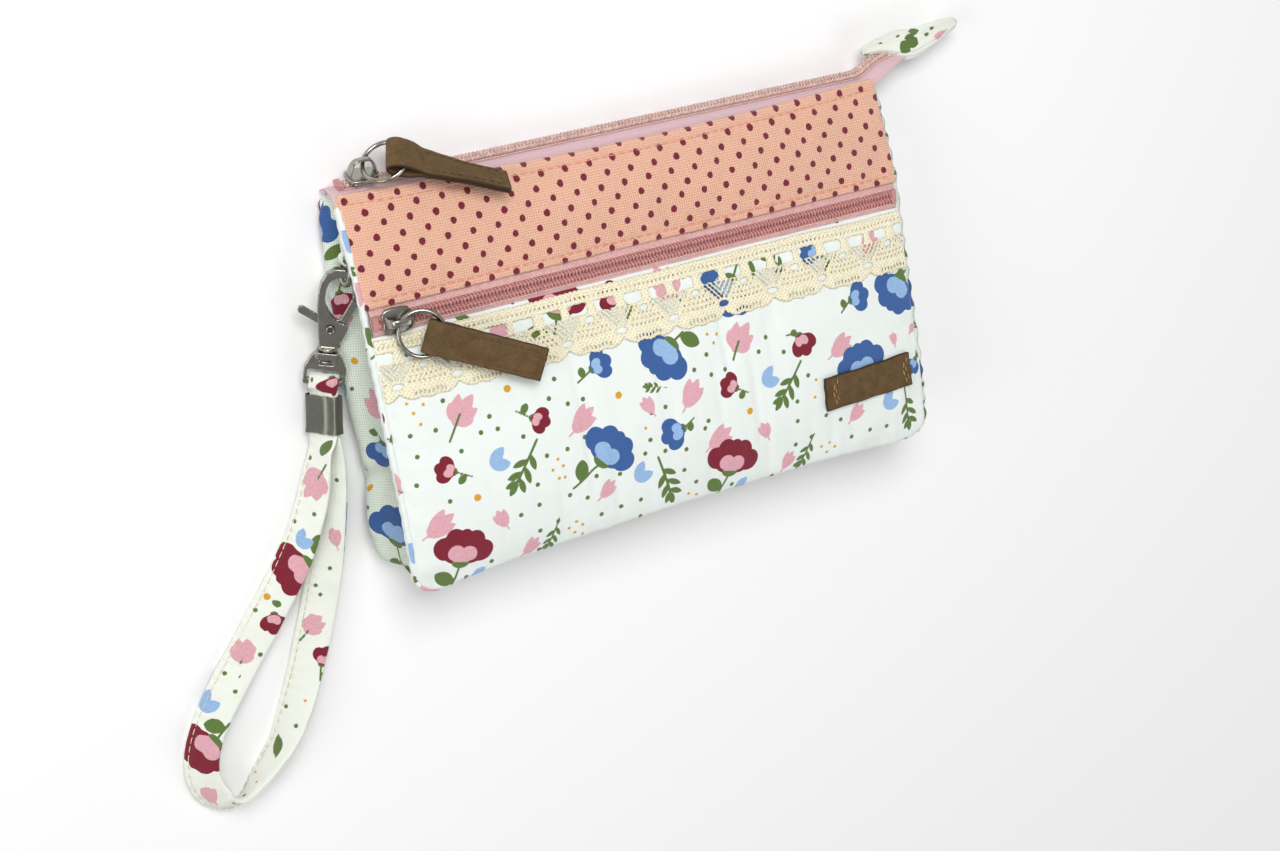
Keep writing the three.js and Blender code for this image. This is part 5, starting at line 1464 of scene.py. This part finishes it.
SIDE_PRINT = [("BB", (19, 55), (22, 66), (18, 49), (20, 50)), ("LF", (24, 49), (33, 54)), ("SM", (29, 38), (31, 31), (31, 43), (33, 41)), ("PT", (26, 27), (32, 34), (24, 23)),
              ("OD", (32.3, 14.6)), ("Od", (31, 41)), ("PT", (40, -4), (36, 5), (42, -8)), ("SB", (37, -14), (34, -22), (35, -9), (33, -10)),
              ("BB", (38, -50), (41, -33), (37, -58), (32, -61)), ("LF", (36, -55), (28, -60)), ("LF", (39, -56), (47, -61)), ("SP", (46, 30), (40, 44)), ("LB", (26, 2), (22, 8)),
              ("GD", (31.7, 36)), ("GD", (27, 20)), ("GD", (38, 22)), ("GD", (30, 5)), ("GD", (24, -6)), ("GD", (25, -25)), ("GD", (28, -38)), ("GD", (44, -20)), ("GD", (43, -28)),
              ("GD", (26, -47)), ("GD", (47, -46)), ("GD", (47, 12)), ("GD", (36, 50)), ("GD", (43, 56)), ("OD", (28, -31)), ("SM", (48, 0), (46, 7), (50, -4), (51, -2))]
TAB_PRINT = [("LF", (22, 5.5), (27.5, 8.5)), ("LF", (24, 3.5), (29, 3.8)), ("LF", (20, 7.5), (24, 10.5)), ("GD", (19, 4.5)), ("GD", (31, 7)), ("GD", (12, 6)), ("GD", (33.5, 5)), ("PB", (38, 9), (33, 10.5)),
             ("ST", (35, 15.6), (44, 14.9)), ("ST", (34, 17.2), (44, 16.4)), ("ST", (36, 18.6), (44, 18.0)), ("SM", (2, 11), (4, 13), (1, 10), (2, 9)), ("SM", (8, 20), (15, 22), (4, 18), (5, 22)), ("SB", (30, 22), (24, 20), (34, 23), (35, 21)),
             ("GD", (20, 28)), ("GD", (27, 26)), ("OD", (12, 29))]
STRAP_PRINT = [("LF", (4, 4.5), (11, 1)), ("PT", (17, 2.5), (27, -2.5), (13, 4.5)), ("GD", (13, -3.5)), ("GD", (31, 2.5)), ("GD", (22, 5)), ("LB", (43, 0), (37, 3.2)), ("GD", (36, -4)), ("GD", (45, -5)),
               ("BM", (47, 6), (58, -2), (43, 8), (40, 7)), ("OD", (64, -2.5)), ("SM", (68, 2), (74, 5), (63, -1), (64, 2)), ("GD", (70, -4)), ("PT", (88, -1), (79, -1.5), (93, 2)), ("GD", (94, -3)),
               ("GD", (98, 3)), ("GD", (83, 4.5)), ("LB", (108, -4.5), (101, -2)), ("GD", (113, 0.5)), ("BM", (116, 4), (127, -3), (109, 6), (111, 1)), ("PB", (142, -2), (134, 1)), ("GD", (147, 3)),
               ("SB", (158, -1), (164, 2), (153, -3), (155, -1)), ("GD", (172, 3)), ("OD", (178, -3)), ("LF", (184, 2), (190, -2)), ("GD", (196, 4)), ("SM", (204, 1), (210, -2), (199, 3), (200, 0)),
               ("PT", (226, 1), (219, -2), (230, 3)), ("GD", (236, -3)), ("BB", (250, 4), (261, -2), (244, 7), (241, 5)), ("GD", (268, 3)), ("LF", (276, 2), (284, -3)),
               ("GD", (152, 63)), ("Od", (160, 58)), ("Od", (162, 61)), ("Od", (158, 62)), ("LF", (168, 62), (176, 58)), ("GD", (181, 63)), ("GD", (186, 57)), ("Od", (190, 63)), ("Od", (193, 61)),
               ("SM", (203, 65), (209, 66), (198, 66), (200, 67)), ("PT", (214, 58), (221, 62), (210, 56)), ("GD", (228, 60)), ("GD", (231, 58)), ("GD", (238, 62)), ("PB", (246, 64), (253, 62)),
               ("GD", (258, 58)), ("Od", (262, 61)), ("Od", (265, 59)), ("GD", (270, 63)), ("LF", (275, 58), (283, 60)), ("GD", (140, 58)), ("SB", (30, 60), (36, 62), (26, 58), (27, 60)),
               ("GD", (44, 62)), ("PT", (58, 58), (67, 61), (54, 56)), ("GD", (76, 63)), ("OD", (84, 59)), ("BB", (96, 62), (106, 58), (90, 63), (88, 60)), ("GD", (118, 62)), ("SM", (128, 58), (134, 61), (124, 57), (125, 60))]
NECK_PRINT = [("SM", (10.5, 1.5), (5.5, 3.0), (13, -1), (14, 1)), ("GD", (9, -3)), ("SM", (24, 0), (28, 2), (20, -1), (21, 1)), ("GD", (18, -2))]


def build_shell():
    st = 0.7
    for name, s in (("left", -1), ("right", 1)):
        nu, nv = int(131 / st), int(34 / st)
        y = np.linspace(-66.0, 64.6, nu + 1)
        t = np.linspace(0, 1, nv + 1)
        Y, T = np.meshgrid(y, t)
        z1 = edge_z(Y) - 1.6
        Zr = 1.2 + (z1 - 1.2) * T
        G = gusset_x(Y, T)
        # cloth creases: long soft folds along the pouch, small puckers at both seams
        crease = 1.15 * bumps(Y * 1.0 + s * 7, Zr * 2.6, 30, 2) * np.sin(np.pi * T) ** 0.7 + 0.45 * bumps(Y * 1.3, Zr * 2.0, 11, 4) * np.sin(np.pi * T) ** 0.5
        puck = 0.4 * np.sin(Y * 0.9 + 2 * np.sin(Y * 0.13)) * (np.exp(-T / 0.12) + np.exp(-(1 - T) / 0.1))
        end = smoothstep(0, 7, Y + 66) * smoothstep(0, 8, 64.6 - Y)
        low = np.sin(np.pi * np.clip(T * 1.15, 0, 1)) * (1.0 * np.exp(-((Y + 50) / 9) ** 2) - 3.4 * np.exp(-((Y + 33) / 3.6) ** 2))
        G = 103.2 + (G - 103.2 + crease + puck + low) * (0.25 + 0.75 * end) - (2.6 + 4.4 * (1 - T)) * (1 - smoothstep(-66, -60.5, Y)) ** 2 - 2.0 * (1 - smoothstep(0, 6, 64.6 - Y)) ** 2
        Yd = Y - 3.0 * (1 - T) ** 0.7 * smoothstep(-54, -66, Y)
        A = np.stack([s * G, Yd, Zr], -1)
        B = np.stack([s * (G - 1.0), Yd, Zr], -1)
        arc = np.cumsum(np.concatenate([np.zeros((1, nu + 1)), np.hypot(np.diff(G, axis=0), np.diff(Zr, axis=0))]), 0)
        uv = np.stack([(arc * 1.0 + (20 if s < 0 else 61)), Y + 6], -1)
        ob = closed_skin(name + "_side_cloth", A, B, M_GUSSET, "pouch", "print_fabric", [name + "_gusset"], uv,
                         (lambda o, q: paint(o, q, own(SIDE_PRINT))) if s < 0 else None)
    # bottom
    nu, nv = int(204 / st), int(34 / st)
    x = np.linspace(-102.0, 102.0, nu + 1)
    t = np.linspace(0, 1, nv + 1)
    X, T = np.meshgrid(x, t)
    yb = YB(X)
    zt = front_z(X, yb) - 2.2
    Zr = 1.2 + (zt - 1.2) * T
    bulge = np.sin(np.pi * T)
    Yb = (-66.2 * (1 - T) + (yb + 1.2) * T) - 2.4 * bulge * (1 - (X / 104) ** 8) + (0.9 * bumps(X, Zr * 2.4, 34, 1) + 0.35 * bumps(X, Zr * 2, 12, 3)) * bulge ** 0.6
    rc = np.clip((np.abs(X) - 96) / 6.5, 0, 1)
    Yb = Yb + 4.0 * (1 - np.sqrt(np.maximum(1 - rc * rc, 0)))
    A = np.stack([X, Yb, Zr], -1)
    B = np.stack([X, Yb + 1.0, Zr], -1)
    arc = np.cumsum(np.concatenate([np.zeros((1, nu + 1)), np.hypot(np.diff(Yb, axis=0), np.diff(Zr, axis=0))]), 0)
    ob = closed_skin("bottom_cloth", A, B, M_GUSSET, "pouch", "print_fabric", ["bottom_gusset"], np.stack([X + 31, arc + 30], -1))
    # back panel: the fine face is the back one
    k = 6
    nu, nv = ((414, 258))
    xs = np.concatenate([-104 + 9 * (1 - np.cos(np.linspace(0, np.pi / 2, 25)))[:-1], np.linspace(-95, 95, nu - 47), (104 - 9 * (1 - np.cos(np.linspace(0, np.pi / 2, 25))))[::-1][1:]])
    xs = np.interp(np.linspace(0, 1, nu + 1), np.linspace(0, 1, len(xs)), xs)
    q = np.clip((np.abs(xs) - 95) / 9, 0, 1)
    cor = 7.0 * (1 - np.sqrt(1 - q * q))
    v = np.linspace(0, 1, nv + 1)
    v = 0.4 * v + 0.6 * (1 - np.cos(np.pi * v)) / 2
    lo, hi = -67.2 + cor, 65.6 - cor * 0.7
    X = np.broadcast_to(xs, (nv + 1, nu + 1))
    Y = lo + (hi - lo) * v[:, None]
    d = np.maximum(np.minimum(104 - np.abs(X) + 0 * Y, np.minimum(Y - (-67.2 + cor), (65.6 - cor * 0.7) - Y)), 0)
    relief = 0.16 * (1 + bumps(X, Y, 40, 5)) + 0.10 * (1 + bumps(X, Y, 15, 6)) + 0.14 * (1 + np.sin((X + Y) * 0.9)) * np.exp(-d / 3)
    Z = 0.02 + relief * smoothstep(0, 14, d + 2) * 0.6 + roll(d, 1.6)
    top = np.stack([X, Y, Z], -1)
    bot = np.stack([X * 0.999, Y, np.full_like(X, 2.3)], -1)
    V, F, n0 = slab(top, bot, nu, nv, k)
    ob = make("back_cloth", V, F, M_PRINT, "pouch", "print_fabric", ["back_panel"])
    outward(ob)
    paint(ob, V[:, :2] * [-1, 1] + [12, 4])
    # seam ridges round the front face and the back face
    def ridge(name, P, r, uvo):
        P = np.array(P, float)
        s = np.concatenate([[0], np.cumsum(np.linalg.norm(np.diff(P, axis=0), axis=1))])
        m = int(s[-1] / (0.8))
        w = np.linspace(0, s[-1], m)
        Q = np.stack([np.interp(w, s, P[:, c]) for c in range(3)], -1)
        for _ in range(3):
            Q[1:-1] = (Q[:-2] + 2 * Q[1:-1] + Q[2:]) / 4
        rr = (r if np.isscalar(r) else np.interp(Q[:, 0], *r)) * (1 + 0.10 * np.sin(w * 1.25) + 0.08 * bumps(w, w * 0.3, 9, 3))
        rr[:3] *= [0.3, 0.7, 0.92]
        rr[-3:] *= [0.92, 0.7, 0.3]
        V, F = tube("", Q, rr, None, None, n=10)
        ob = outward(make(name, V, F, M_PRINT, "pouch", "print_fabric"))
        a = np.tile(np.arange(10), m)
        paint(ob, np.stack([np.repeat(w, 10) + uvo[0], a * 0.8 + uvo[1]], -1))
        return ob

    def front_path(x_from, x_to, y_top):
        ys = np.linspace(y_top, -62.0, 120)
        th = np.linspace(0, np.pi / 2, 16)
        left = [(-103.2, y, front_z(-103, y) - 1.9) for y in ys]
        c = [(-95 - 8.2 * math.cos(q), -62.0 + (YB(-98.0) + 0.9 + 62) * math.sin(q), front_z(-100, -66) - 2.0) for q in th[1:]]
        xs_ = np.linspace(-94.5, 94.5, 200)
        b = [(x_, YB(x_) + 0.35, front_z(x_, -66.3) - 2.0) for x_ in xs_]
        cr = [(-p[0], p[1] + (YB(98.0) - YB(-98.0)) * 1.0, p[2]) for p in c[::-1]]
        right = [(-p[0] - 1.1, p[1], p[2] - 0.8) for p in left[::-1]]
        b = [(p[0], p[1] + 0.5, p[2] - 0.5) for p in b]
        return left + c + b + cr + right

    ridge("front_seam", front_path(0, 0, 61.5), ([-104, -100, -92, 92, 101], [1.25, 1.2, 0.8, 0.8, 0.75]), (17, 3))
    ys = np.linspace(62.5, -60.0, 100)
    th = np.linspace(0, np.pi / 2, 14)
    left = [(-104.0, y, 2.0) for y in ys]
    c = [(-96.5 - 7.5 * math.cos(q), -60.0 - 7.0 * math.sin(q), 2.0) for q in th[1:]]
    b = [(x_, -67.0, 2.0) for x_ in np.linspace(-96, 96, 160)]
    ridge("back_seam", left + c + b + [(-p[0], p[1], p[2]) for p in c[::-1]] + [(-p[0], p[1], p[2]) for p in left[::-1]], 1.35, (60, 21))


# ----------------------------------------------------------------- end tab
def build_tab():
    C = catmull(np.array([[102.2, 73.6, 8.6], [105.2, 74.9, 8.8], [110.0, 75.3, 9.2], [116.0, 74.6, 9.4], [122.5, 74.2, 9.4], [130.0, 75.6, 9.4], [137.5, 77.4, 9.3], [143.6, 78.6, 9.2]]), 110)
    T = np.gradient(C, axis=0)
    T /= np.linalg.norm(T, axis=1)[:, None]
    N = np.broadcast_to(EZV, C.shape)
    W = np.cross(N, T)
    s = np.linspace(0, 1, len(C))
    hw = np.interp(s, [0, 0.06, 0.2, 0.33, 0.45, 0.58, 0.72, 0.86, 0.96, 1.0], [0.8, 1.7, 2.3, 3.1, 5.2, 5.5, 4.2, 2.9, 1.9, 0.7])
    ht = np.interp(s, [0, 0.1, 0.3, 0.5, 0.8, 0.95, 1.0], [0.7, 1.2, 2.0, 3.2, 2.8, 1.9, 0.8])
    for _ in range(5):
        hw[1:-1] = (hw[:-2] + 2 * hw[1:-1] + hw[2:]) / 4
        ht[1:-1] = (ht[:-2] + 2 * ht[1:-1] + ht[2:]) / 4
    n = 96
    a = np.linspace(0, 2 * np.pi, n, endpoint=False)
    ex = np.sign(np.cos(a)) * np.abs(np.cos(a)) ** 0.72
    ey = np.sign(np.sin(a)) * np.abs(np.sin(a)) ** 0.72
    # lengthwise folds: one deep, two shallow
    fold = 1 - 0.30 * np.exp(-((a - 1.15) / 0.13) ** 2) - 0.16 * np.exp(-((a - 2.1) / 0.16) ** 2) - 0.22 * np.exp(-((a - 5.2) / 0.16) ** 2) + 0.06 * np.sin(a * 7)
    f2 = 1 + 0.05 * np.sin(a[None] * 3 + 9 * s[:, None]) + 0.04 * np.sin(a[None] * 5 - 6 * s[:, None])
    R = C[:, None] + W[:, None] * (hw[:, None] * ex * fold * f2)[..., None] + N[:, None] * (ht[:, None] * ey * fold * f2)[..., None]
    V = R.reshape(-1, 3)
    F = grid_faces(n, len(C) - 1, wrap_u=True).tolist()
    F.append(list(range(n))[::-1])
    F.append(list(range((len(C) - 1) * n, len(C) * n)))
    ob = outward(make("end_tab_cloth", V, F, M_STRAP, "pouch", "print_fabric", ["top_zip_end_tab"]))
    arc = s * 45
    paint(ob, np.stack([np.repeat(arc, n), np.tile(a * 5.2, len(C))], -1), own(TAB_PRINT))


# ------------------------------------------------------------------ the clasp
def cast_metal(node, voxel, mat, rounds=6):
    """Rounds the corners of a CAD metal part, and gives it the metal's look."""
    o = NODES[node]
    o.data.materials.clear()
    o.data.materials.append(mat)
    m = o.modifiers.new("even", "REMESH")
    m.mode, m.voxel_size, m.use_smooth_shade = "VOXEL", voxel * 0.001, True
    s = o.modifiers.new("round", "SMOOTH")
    s.factor, s.iterations = 0.5, rounds


def bevel_metal(node, width, mat):
    o = NODES[node]
    o.data.materials.clear()
    o.data.materials.append(mat)
    m = o.modifiers.new("rim", "BEVEL")
    m.width, m.segments, m.limit_method, m.angle_limit = width * 0.001, 3, "ANGLE", math.radians(35)
    for p in o.data.polygons:
        p.use_smooth = True
    n = o.modifiers.new("shade", "WEIGHTED_NORMAL")
    n.keep_sharp = True


def build_clasp():
    vox = 0.22
    cast_metal("clasp_hook", vox, M_METAL, 7)
    cast_metal("clasp_swivel_base", vox, M_METAL, 6)
    cast_metal("clasp_lever", 0.2, M_METAL, 4)
    cast_metal("clasp_rivet", 0.16, M_METAL_D, 3)
    bevel_metal("clasp_spring", 0.08, M_METAL_D)
    for nm in ("front_zip_stop_left", "front_zip_stop_right", "top_zip_stop"):
        bevel_metal(nm, 0.35, M_STOP)
    for nm in ("main_lining", "front_pocket_lining"):
        o = NODES[nm]
        o.data.materials.clear()
        o.data.materials.append(M_LINING)
    A = np.array
    cO, cX, cY, cZ = (A(FR[k]) for k in ("cO", "cX", "cY", "cZ"))
    # rings turned on the rivet's heads
    for s, nm in ((1, "rivet_ring_front"), (-1, "rivet_ring_back")):
        torus_obj(nm, cO + cZ * 2.25 * s, cX, cY, 1.15, 0.3, M_METAL, "clasp_hook", slot="metal")
    # collar over the post and its groove
    for k, (yy, R, r) in enumerate(((-7.2, 2.75, 0.55), (-8.15, 1.55, 0.35))):
        torus_obj("collar_%d" % k, cO + cY * yy, cX, cZ, R, r, M_METAL, "clasp_hook", slot="metal")


# ------------------------------------------------------------- strap and clamp
ROUTE = [
    [-118.7, -10.6, 8.3, 0.25, -0.15, 0.96],
    [-119.1, -14.1, 7.9, 0.25, -0.15, 0.96],
    [-120.2, -18.5, 7.4, 0.32, -0.07, 0.95],
    [-122.0, -24.2, 7.2, 0.46, 0.12, 0.88],
    [-125.3, -34.5, 6.8, 0.58, -0.03, 0.81],
    [-130.0, -45.1, 6.4, 0.64, -0.17, 0.75],
    [-135.5, -54.9, 5.9, 0.67, -0.31, 0.67],
    [-141.2, -63.4, 5.0, 0.71, -0.46, 0.53],
    [-147.6, -72.2, 4.0, 0.74, -0.56, 0.38],
    [-155.5, -82.2, 3.6, 0.76, -0.57, 0.31],
    [-164.4, -92.7, 4.0, 0.79, -0.48, 0.37],
    [-172.2, -102.6, 4.8, 0.81, -0.29, 0.50],
    [-177.7, -111.9, 5.3, 0.82, -0.05, 0.57],
    [-180.1, -120.8, 5.2, 0.80, 0.20, 0.57],
    [-179.3, -128.1, 5.2, 0.72, 0.42, 0.56],
    [-176.7, -132.8, 5.5, 0.54, 0.58, 0.61],
    [-173.2, -135.5, 6.3, 0.33, 0.60, 0.73],
    [-168.9, -135.1, 7.2, 0.20, 0.44, 0.87],
    [-163.7, -131.1, 7.6, 0.23, 0.21, 0.95],
    [-157.7, -125.5, 7.5, 0.36, 0.03, 0.93],
    [-151.6, -119.4, 7.1, 0.51, -0.07, 0.86],
    [-146.1, -111.2, 6.3, 0.65, -0.15, 0.74],
    [-140.4, -100.4, 5.2, 0.79, -0.25, 0.57],
    [-134.8, -88.1, 4.2, 0.87, -0.30, 0.40],
    [-130.0, -75.8, 4.1, 0.89, -0.25, 0.39],
    [-126.1, -63.7, 5.0, 0.84, -0.11, 0.52],
    [-122.8, -51.3, 5.8, 0.75, 0.03, 0.66],
    [-119.6, -37.7, 6.4, 0.65, 0.13, 0.75],
    [-117.2, -24.5, 6.8, 0.53, 0.20, 0.82],
    [-116.6, -18.6, 6.9, 0.34, -0.05, 0.94],
    [-117.2, -14.1, 7.4, 0.25, -0.15, 0.96],
    [-117.0, -10.7, 7.9, 0.25, -0.15, 0.96],
]


def build_strap():
    A = np.array
    SE, dC, wC, nC = (A(FR[k]) for k in ("STRAP_END", "dC", "wC", "nC"))
    R = A(ROUTE, float)
    R[0] = [*(SE - 3 * dC + 0.9 * nC), *wC]
    R[1] = [*(SE + 0.6 * dC + 0.95 * nC), *wC]
    R[-2] = [*(SE + 0.6 * dC - 0.95 * nC), *wC]
    R[-1] = [*(SE - 3 * dC - 0.9 * nC), *wC]
    m = 620
    s0 = np.concatenate([[0], np.cumsum(np.linalg.norm(np.diff(R[:, :3], axis=0), axis=1))])
    dense = catmull(R, 32 * 40)
    sd = np.concatenate([[0], np.cumsum(np.linalg.norm(np.diff(dense[:, :3], axis=0), axis=1))])
    w = np.linspace(0, sd[-1], m)
    Q = np.stack([np.interp(w, sd, dense[:, c]) for c in range(6)], -1)
    P = Q[:, :3]
    for _ in range(10):
        P[1:-1] = (P[:-2] + 2 * P[1:-1] + P[2:]) / 4
    T = np.gradient(P, axis=0)
    T /= np.linalg.norm(T, axis=1)[:, None]
    W = Q[:, 3:] - T * np.sum(Q[:, 3:] * T, 1)[:, None]
    for _ in range(20):
        W[1:-1] = (W[:-2] + 2 * W[1:-1] + W[2:]) / 4
    W -= T * np.sum(W * T, 1)[:, None]
    W /= np.linalg.norm(W, axis=1)[:, None]
    N = np.cross(T, W)
    u = w / w[-1]
    k = np.clip(np.minimum(u, 1 - u) / 0.09, 0, 1)
    k = k * k * (3 - 2 * k)
    hw = (11.2 + 1.3 * k) / 2 * (1 + 0.012 * bumps(w, w * 0.2, 12, 2))
    ht = (1.3 + 1.3 * k) / 2
    n = 44
    a = np.linspace(0, 2 * np.pi, n, endpoint=False)
    ex = np.sign(np.cos(a)) * np.abs(np.cos(a)) ** (2 / 3.4)
    ey = np.sign(np.sin(a)) * np.abs(np.sin(a)) ** (2 / 3.4)
    across = hw[:, None] * ex
    # padded between the seam and the fold; small puckers along the stitching
    seam = -hw[:, None] + 1.9
    g = 0.30 * np.exp(-((across - seam) / 0.8) ** 2) * np.sign(ey) * k[:, None]
    pk = 0.13 * np.exp(-((across - seam) / 2.6) ** 2) * np.sin(w * 1.85)[:, None] * np.sign(ey)
    wr = 0.16 * bumps(w[:, None] + 0 * across, across * 2.5, 10, 1) * np.sign(ey) * k[:, None] + 0.10 * bumps(w[:, None] * 1.4, across * 2, 5, 3) * np.sign(ey) * k[:, None]
    thick = ht[:, None] * ey - g + pk + wr
    V = (P[:, None] + W[:, None] * across[..., None] + N[:, None] * thick[..., None]).reshape(-1, 3)
    F = grid_faces(n, m - 1, wrap_u=True).tolist()
    F.append(list(range(n))[::-1])
    F.append(list(range((m - 1) * n, m * n)))
    ob = outward(make("strap_cloth", V, F, M_STRAP, "wrist_strap", "print_fabric", ["wrist_strap"]))
    lo = np.where(ey >= 0, across, across + 60)
    paint(ob, np.stack([np.repeat(w, n), lo.ravel()], -1), own(STRAP_PRINT))
    # seam stitches on both faces
    G = []
    for sg in (1, -1):
        i0, i1 = int(m * 0.04), int(m * 0.96)
        sl = slice(i0, i1)
        q = -hw[sl] + 1.9
        X = P[sl] + W[sl] * q[:, None] + N[sl] * (sg * (ht[sl] * 0.93 - 0.14))[:, None]
        G.append(stitch_geo(X, N[sl] * sg, 2.4, 0.8, 0.2, 0.35))
    Vs, Fs = join_geo(G)
    make("strap_stitch", Vs, Fs, M_CTHREAD2, "wrist_strap", "print_fabric")
    # the loop round the clasp's bar
    bar, cX, cY, cZ = A(FR["bar"]), A(FR["cX"]), A(FR["cY"]), A(FR["cZ"])
    top = SE - 12.8 * dC
    pts = []
    leg = lambda sd_: (top + 3.4 * dC + sd_ * 0.95 * nC, top + sd_ * 1.0 * nC)
    side = 1 if nC @ cZ > 0 else -1
    mixw = lambda q: wC * (1 - q) + cX * q
    pts += [[*leg(1)[0], *wC], [*leg(1)[1], *wC], [*(bar + cZ * side * 2.35 - cY * 1.7), *cX]]
    deg = [-5, 25, 58, 90, 122, 155, 185]
    for d in (deg if side > 0 else deg[::-1]):
        q = math.radians(d)
        pts.append([*(bar + cZ * 2.45 * math.cos(q) + cY * 2.45 * math.sin(q)), *cX])
    pts += [[*(bar - cZ * side * 2.35 - cY * 1.7), *cX], [*leg(-1)[1], *wC], [*leg(-1)[0], *wC]]
    B = catmull(A(pts, float), 130)
    Pn = B[:, :3]
    Tn = np.gradient(Pn, axis=0)
    Tn /= np.linalg.norm(Tn, axis=1)[:, None]
    Wn = B[:, 3:] - Tn * np.sum(B[:, 3:] * Tn, 1)[:, None]
    Wn /= np.linalg.norm(Wn, axis=1)[:, None]
    ob2 = sweep("strap_neck_cloth", Pn, Wn, np.cross(Tn, Wn), 4.9, 0.5, M_STRAP, "wrist_strap", n=20, power=5, slot="print_fabric", replaces=["strap_neck"])
    sn = np.concatenate([[0], np.cumsum(np.linalg.norm(np.diff(Pn, axis=0), axis=1))])
    aa = np.linspace(0, 2 * np.pi, 20, endpoint=False)
    paint(ob2, np.stack([np.repeat(sn, 20), np.tile(4.9 * np.cos(aa), len(Pn))], -1), own(NECK_PRINT))
    # clamp: a band of sheet metal folded round the strap, its edges meeting at one side
    mid = SE - dC * 6.4
    hx, hn, r = 6.35, 2.25, 1.1
    prof = []
    cr = lambda cx, cn, a0: [(cx + r * math.cos(math.radians(q)), cn + r * math.sin(math.radians(q))) for q in np.linspace(a0, a0 + 90, 8)]
    prof += [(1.9, hn + 0.28)] + [(2.8, hn + 0.12), (3.6, hn)]
    prof = [(1.9, hn)]
    prof += [(-3.5, hn + 0.04)]
    prof += [p for p in cr(-(hx - r), hn - r, 90)]
    prof += cr(-(hx - r), -(hn - r), 180)
    prof += cr(hx - r, -(hn - r), 270)
    prof += cr(hx - r, hn - r, 0)
    prof += [(3.4, hn + 0.02), (2.6, hn + 0.10), (1.7, hn + 0.36), (0.9, hn + 0.40)]
    pr = A(prof, float)
    sp = np.concatenate([[0], np.cumsum(np.linalg.norm(np.diff(pr, axis=0), axis=1))])
    ww = np.linspace(0, sp[-1], 150)
    pr = np.stack([np.interp(ww, sp, pr[:, c]) for c in range(2)], -1)
    L = np.linspace(-1, 1, 25)
    out = np.gradient(pr, axis=0)
    on = np.stack([out[:, 1], -out[:, 0]], -1)
    on /= np.linalg.norm(on, axis=1)[:, None]
    if np.sum(on * pr) < 0:
        on = -on
    grids = []
    for off in (0.0, -0.38):
        G = []
        for l in L:
            wav = 0.10 * math.exp(-((1 - abs(l)) / 0.12)) * np.sin(ww * 1.7) + 0.22 * math.exp(-((1 - l) / 0.2))
            q = pr + on * (off + wav)[:, None]
            G.append(mid + q[:, :1] * wC + q[:, 1:] * nC + dC * (6.4 * l + 0.12 * np.sin(ww * 1.1) * (abs(l) > 0.99))[:, None])
        grids.append(A(G))
    Aa, Bb = grids
    nv, nu = Aa.shape[0] - 1, Aa.shape[1] - 1
    nn_ = (nu + 1) * (nv + 1)
    t = lambda i, j: j * (nu + 1) + i
    ring = [(i, 0) for i in range(nu)] + [(nu, j) for j in range(nv)] + [(i, nv) for i in range(nu, 0, -1)] + [(0, j) for j in range(nv, 0, -1)]
    Wl = [[t(*ring[q]), t(*ring[q]) + nn_, t(*ring[(q + 1) % len(ring)]) + nn_, t(*ring[(q + 1) % len(ring)])] for q in range(len(ring))]
    Fc = np.vstack([grid_faces(nu, nv), grid_faces(nu, nv, nn_, True), A(Wl)])
    clamp = outward(make("clamp_band", np.vstack([Aa.reshape(-1, 3), Bb.reshape(-1, 3)]), Fc, M_METAL_C, "wrist_strap", "metal", ["strap_clamp"], sharp_deg=50))
    print("strap length", w[-1])


def build_floor():
    me = bpy.data.meshes.new("floor")
    s = 6.0
    z = min(CAD_BOX[0][2], 0.0) - 0.0004
    me.from_pydata([(-s, -s, z), (s, -s, z), (s, s, z), (-s, s, z)], [], [(0, 1, 2, 3)])
    m = Mat("floor", rough=0.75, spec=0.2)
    m.b.inputs["Base Color"].default_value = (0.93, 0.93, 0.93, 1)
    me.materials.append(m.m)
    ob = bpy.data.objects.new("floor", me)
    bpy.context.scene.collection.objects.link(ob)


M_CTHREAD2 = thread_material("strap_thread", srgb("EADFC0"))


def raw_edges(mat):
    """Raw cut edges on leather, from the raw attribute."""
    t = mat.node_tree
    b = t.nodes["Principled BSDF"]
    src = b.inputs["Base Color"].links[0].from_socket
    at = t.nodes.new("ShaderNodeAttribute")
    at.attribute_name = "raw"
    mx = t.nodes.new("ShaderNodeMix")
    mx.data_type = "RGBA"
    t.links.new(at.outputs["Fac"], mx.inputs[0])
    t.links.new(src, mx.inputs[6])
    mx.inputs[7].default_value = srgb("3F2D1E")
    t.links.new(mx.outputs[2], b.inputs["Base Color"])


raw_edges(M_LEATHER)
setup_camera()
setup_light()
build_front()
build_lace()
build_zips()
build_pulls()
build_shell()
build_tab()
build_clasp()
build_strap()
build_floor()
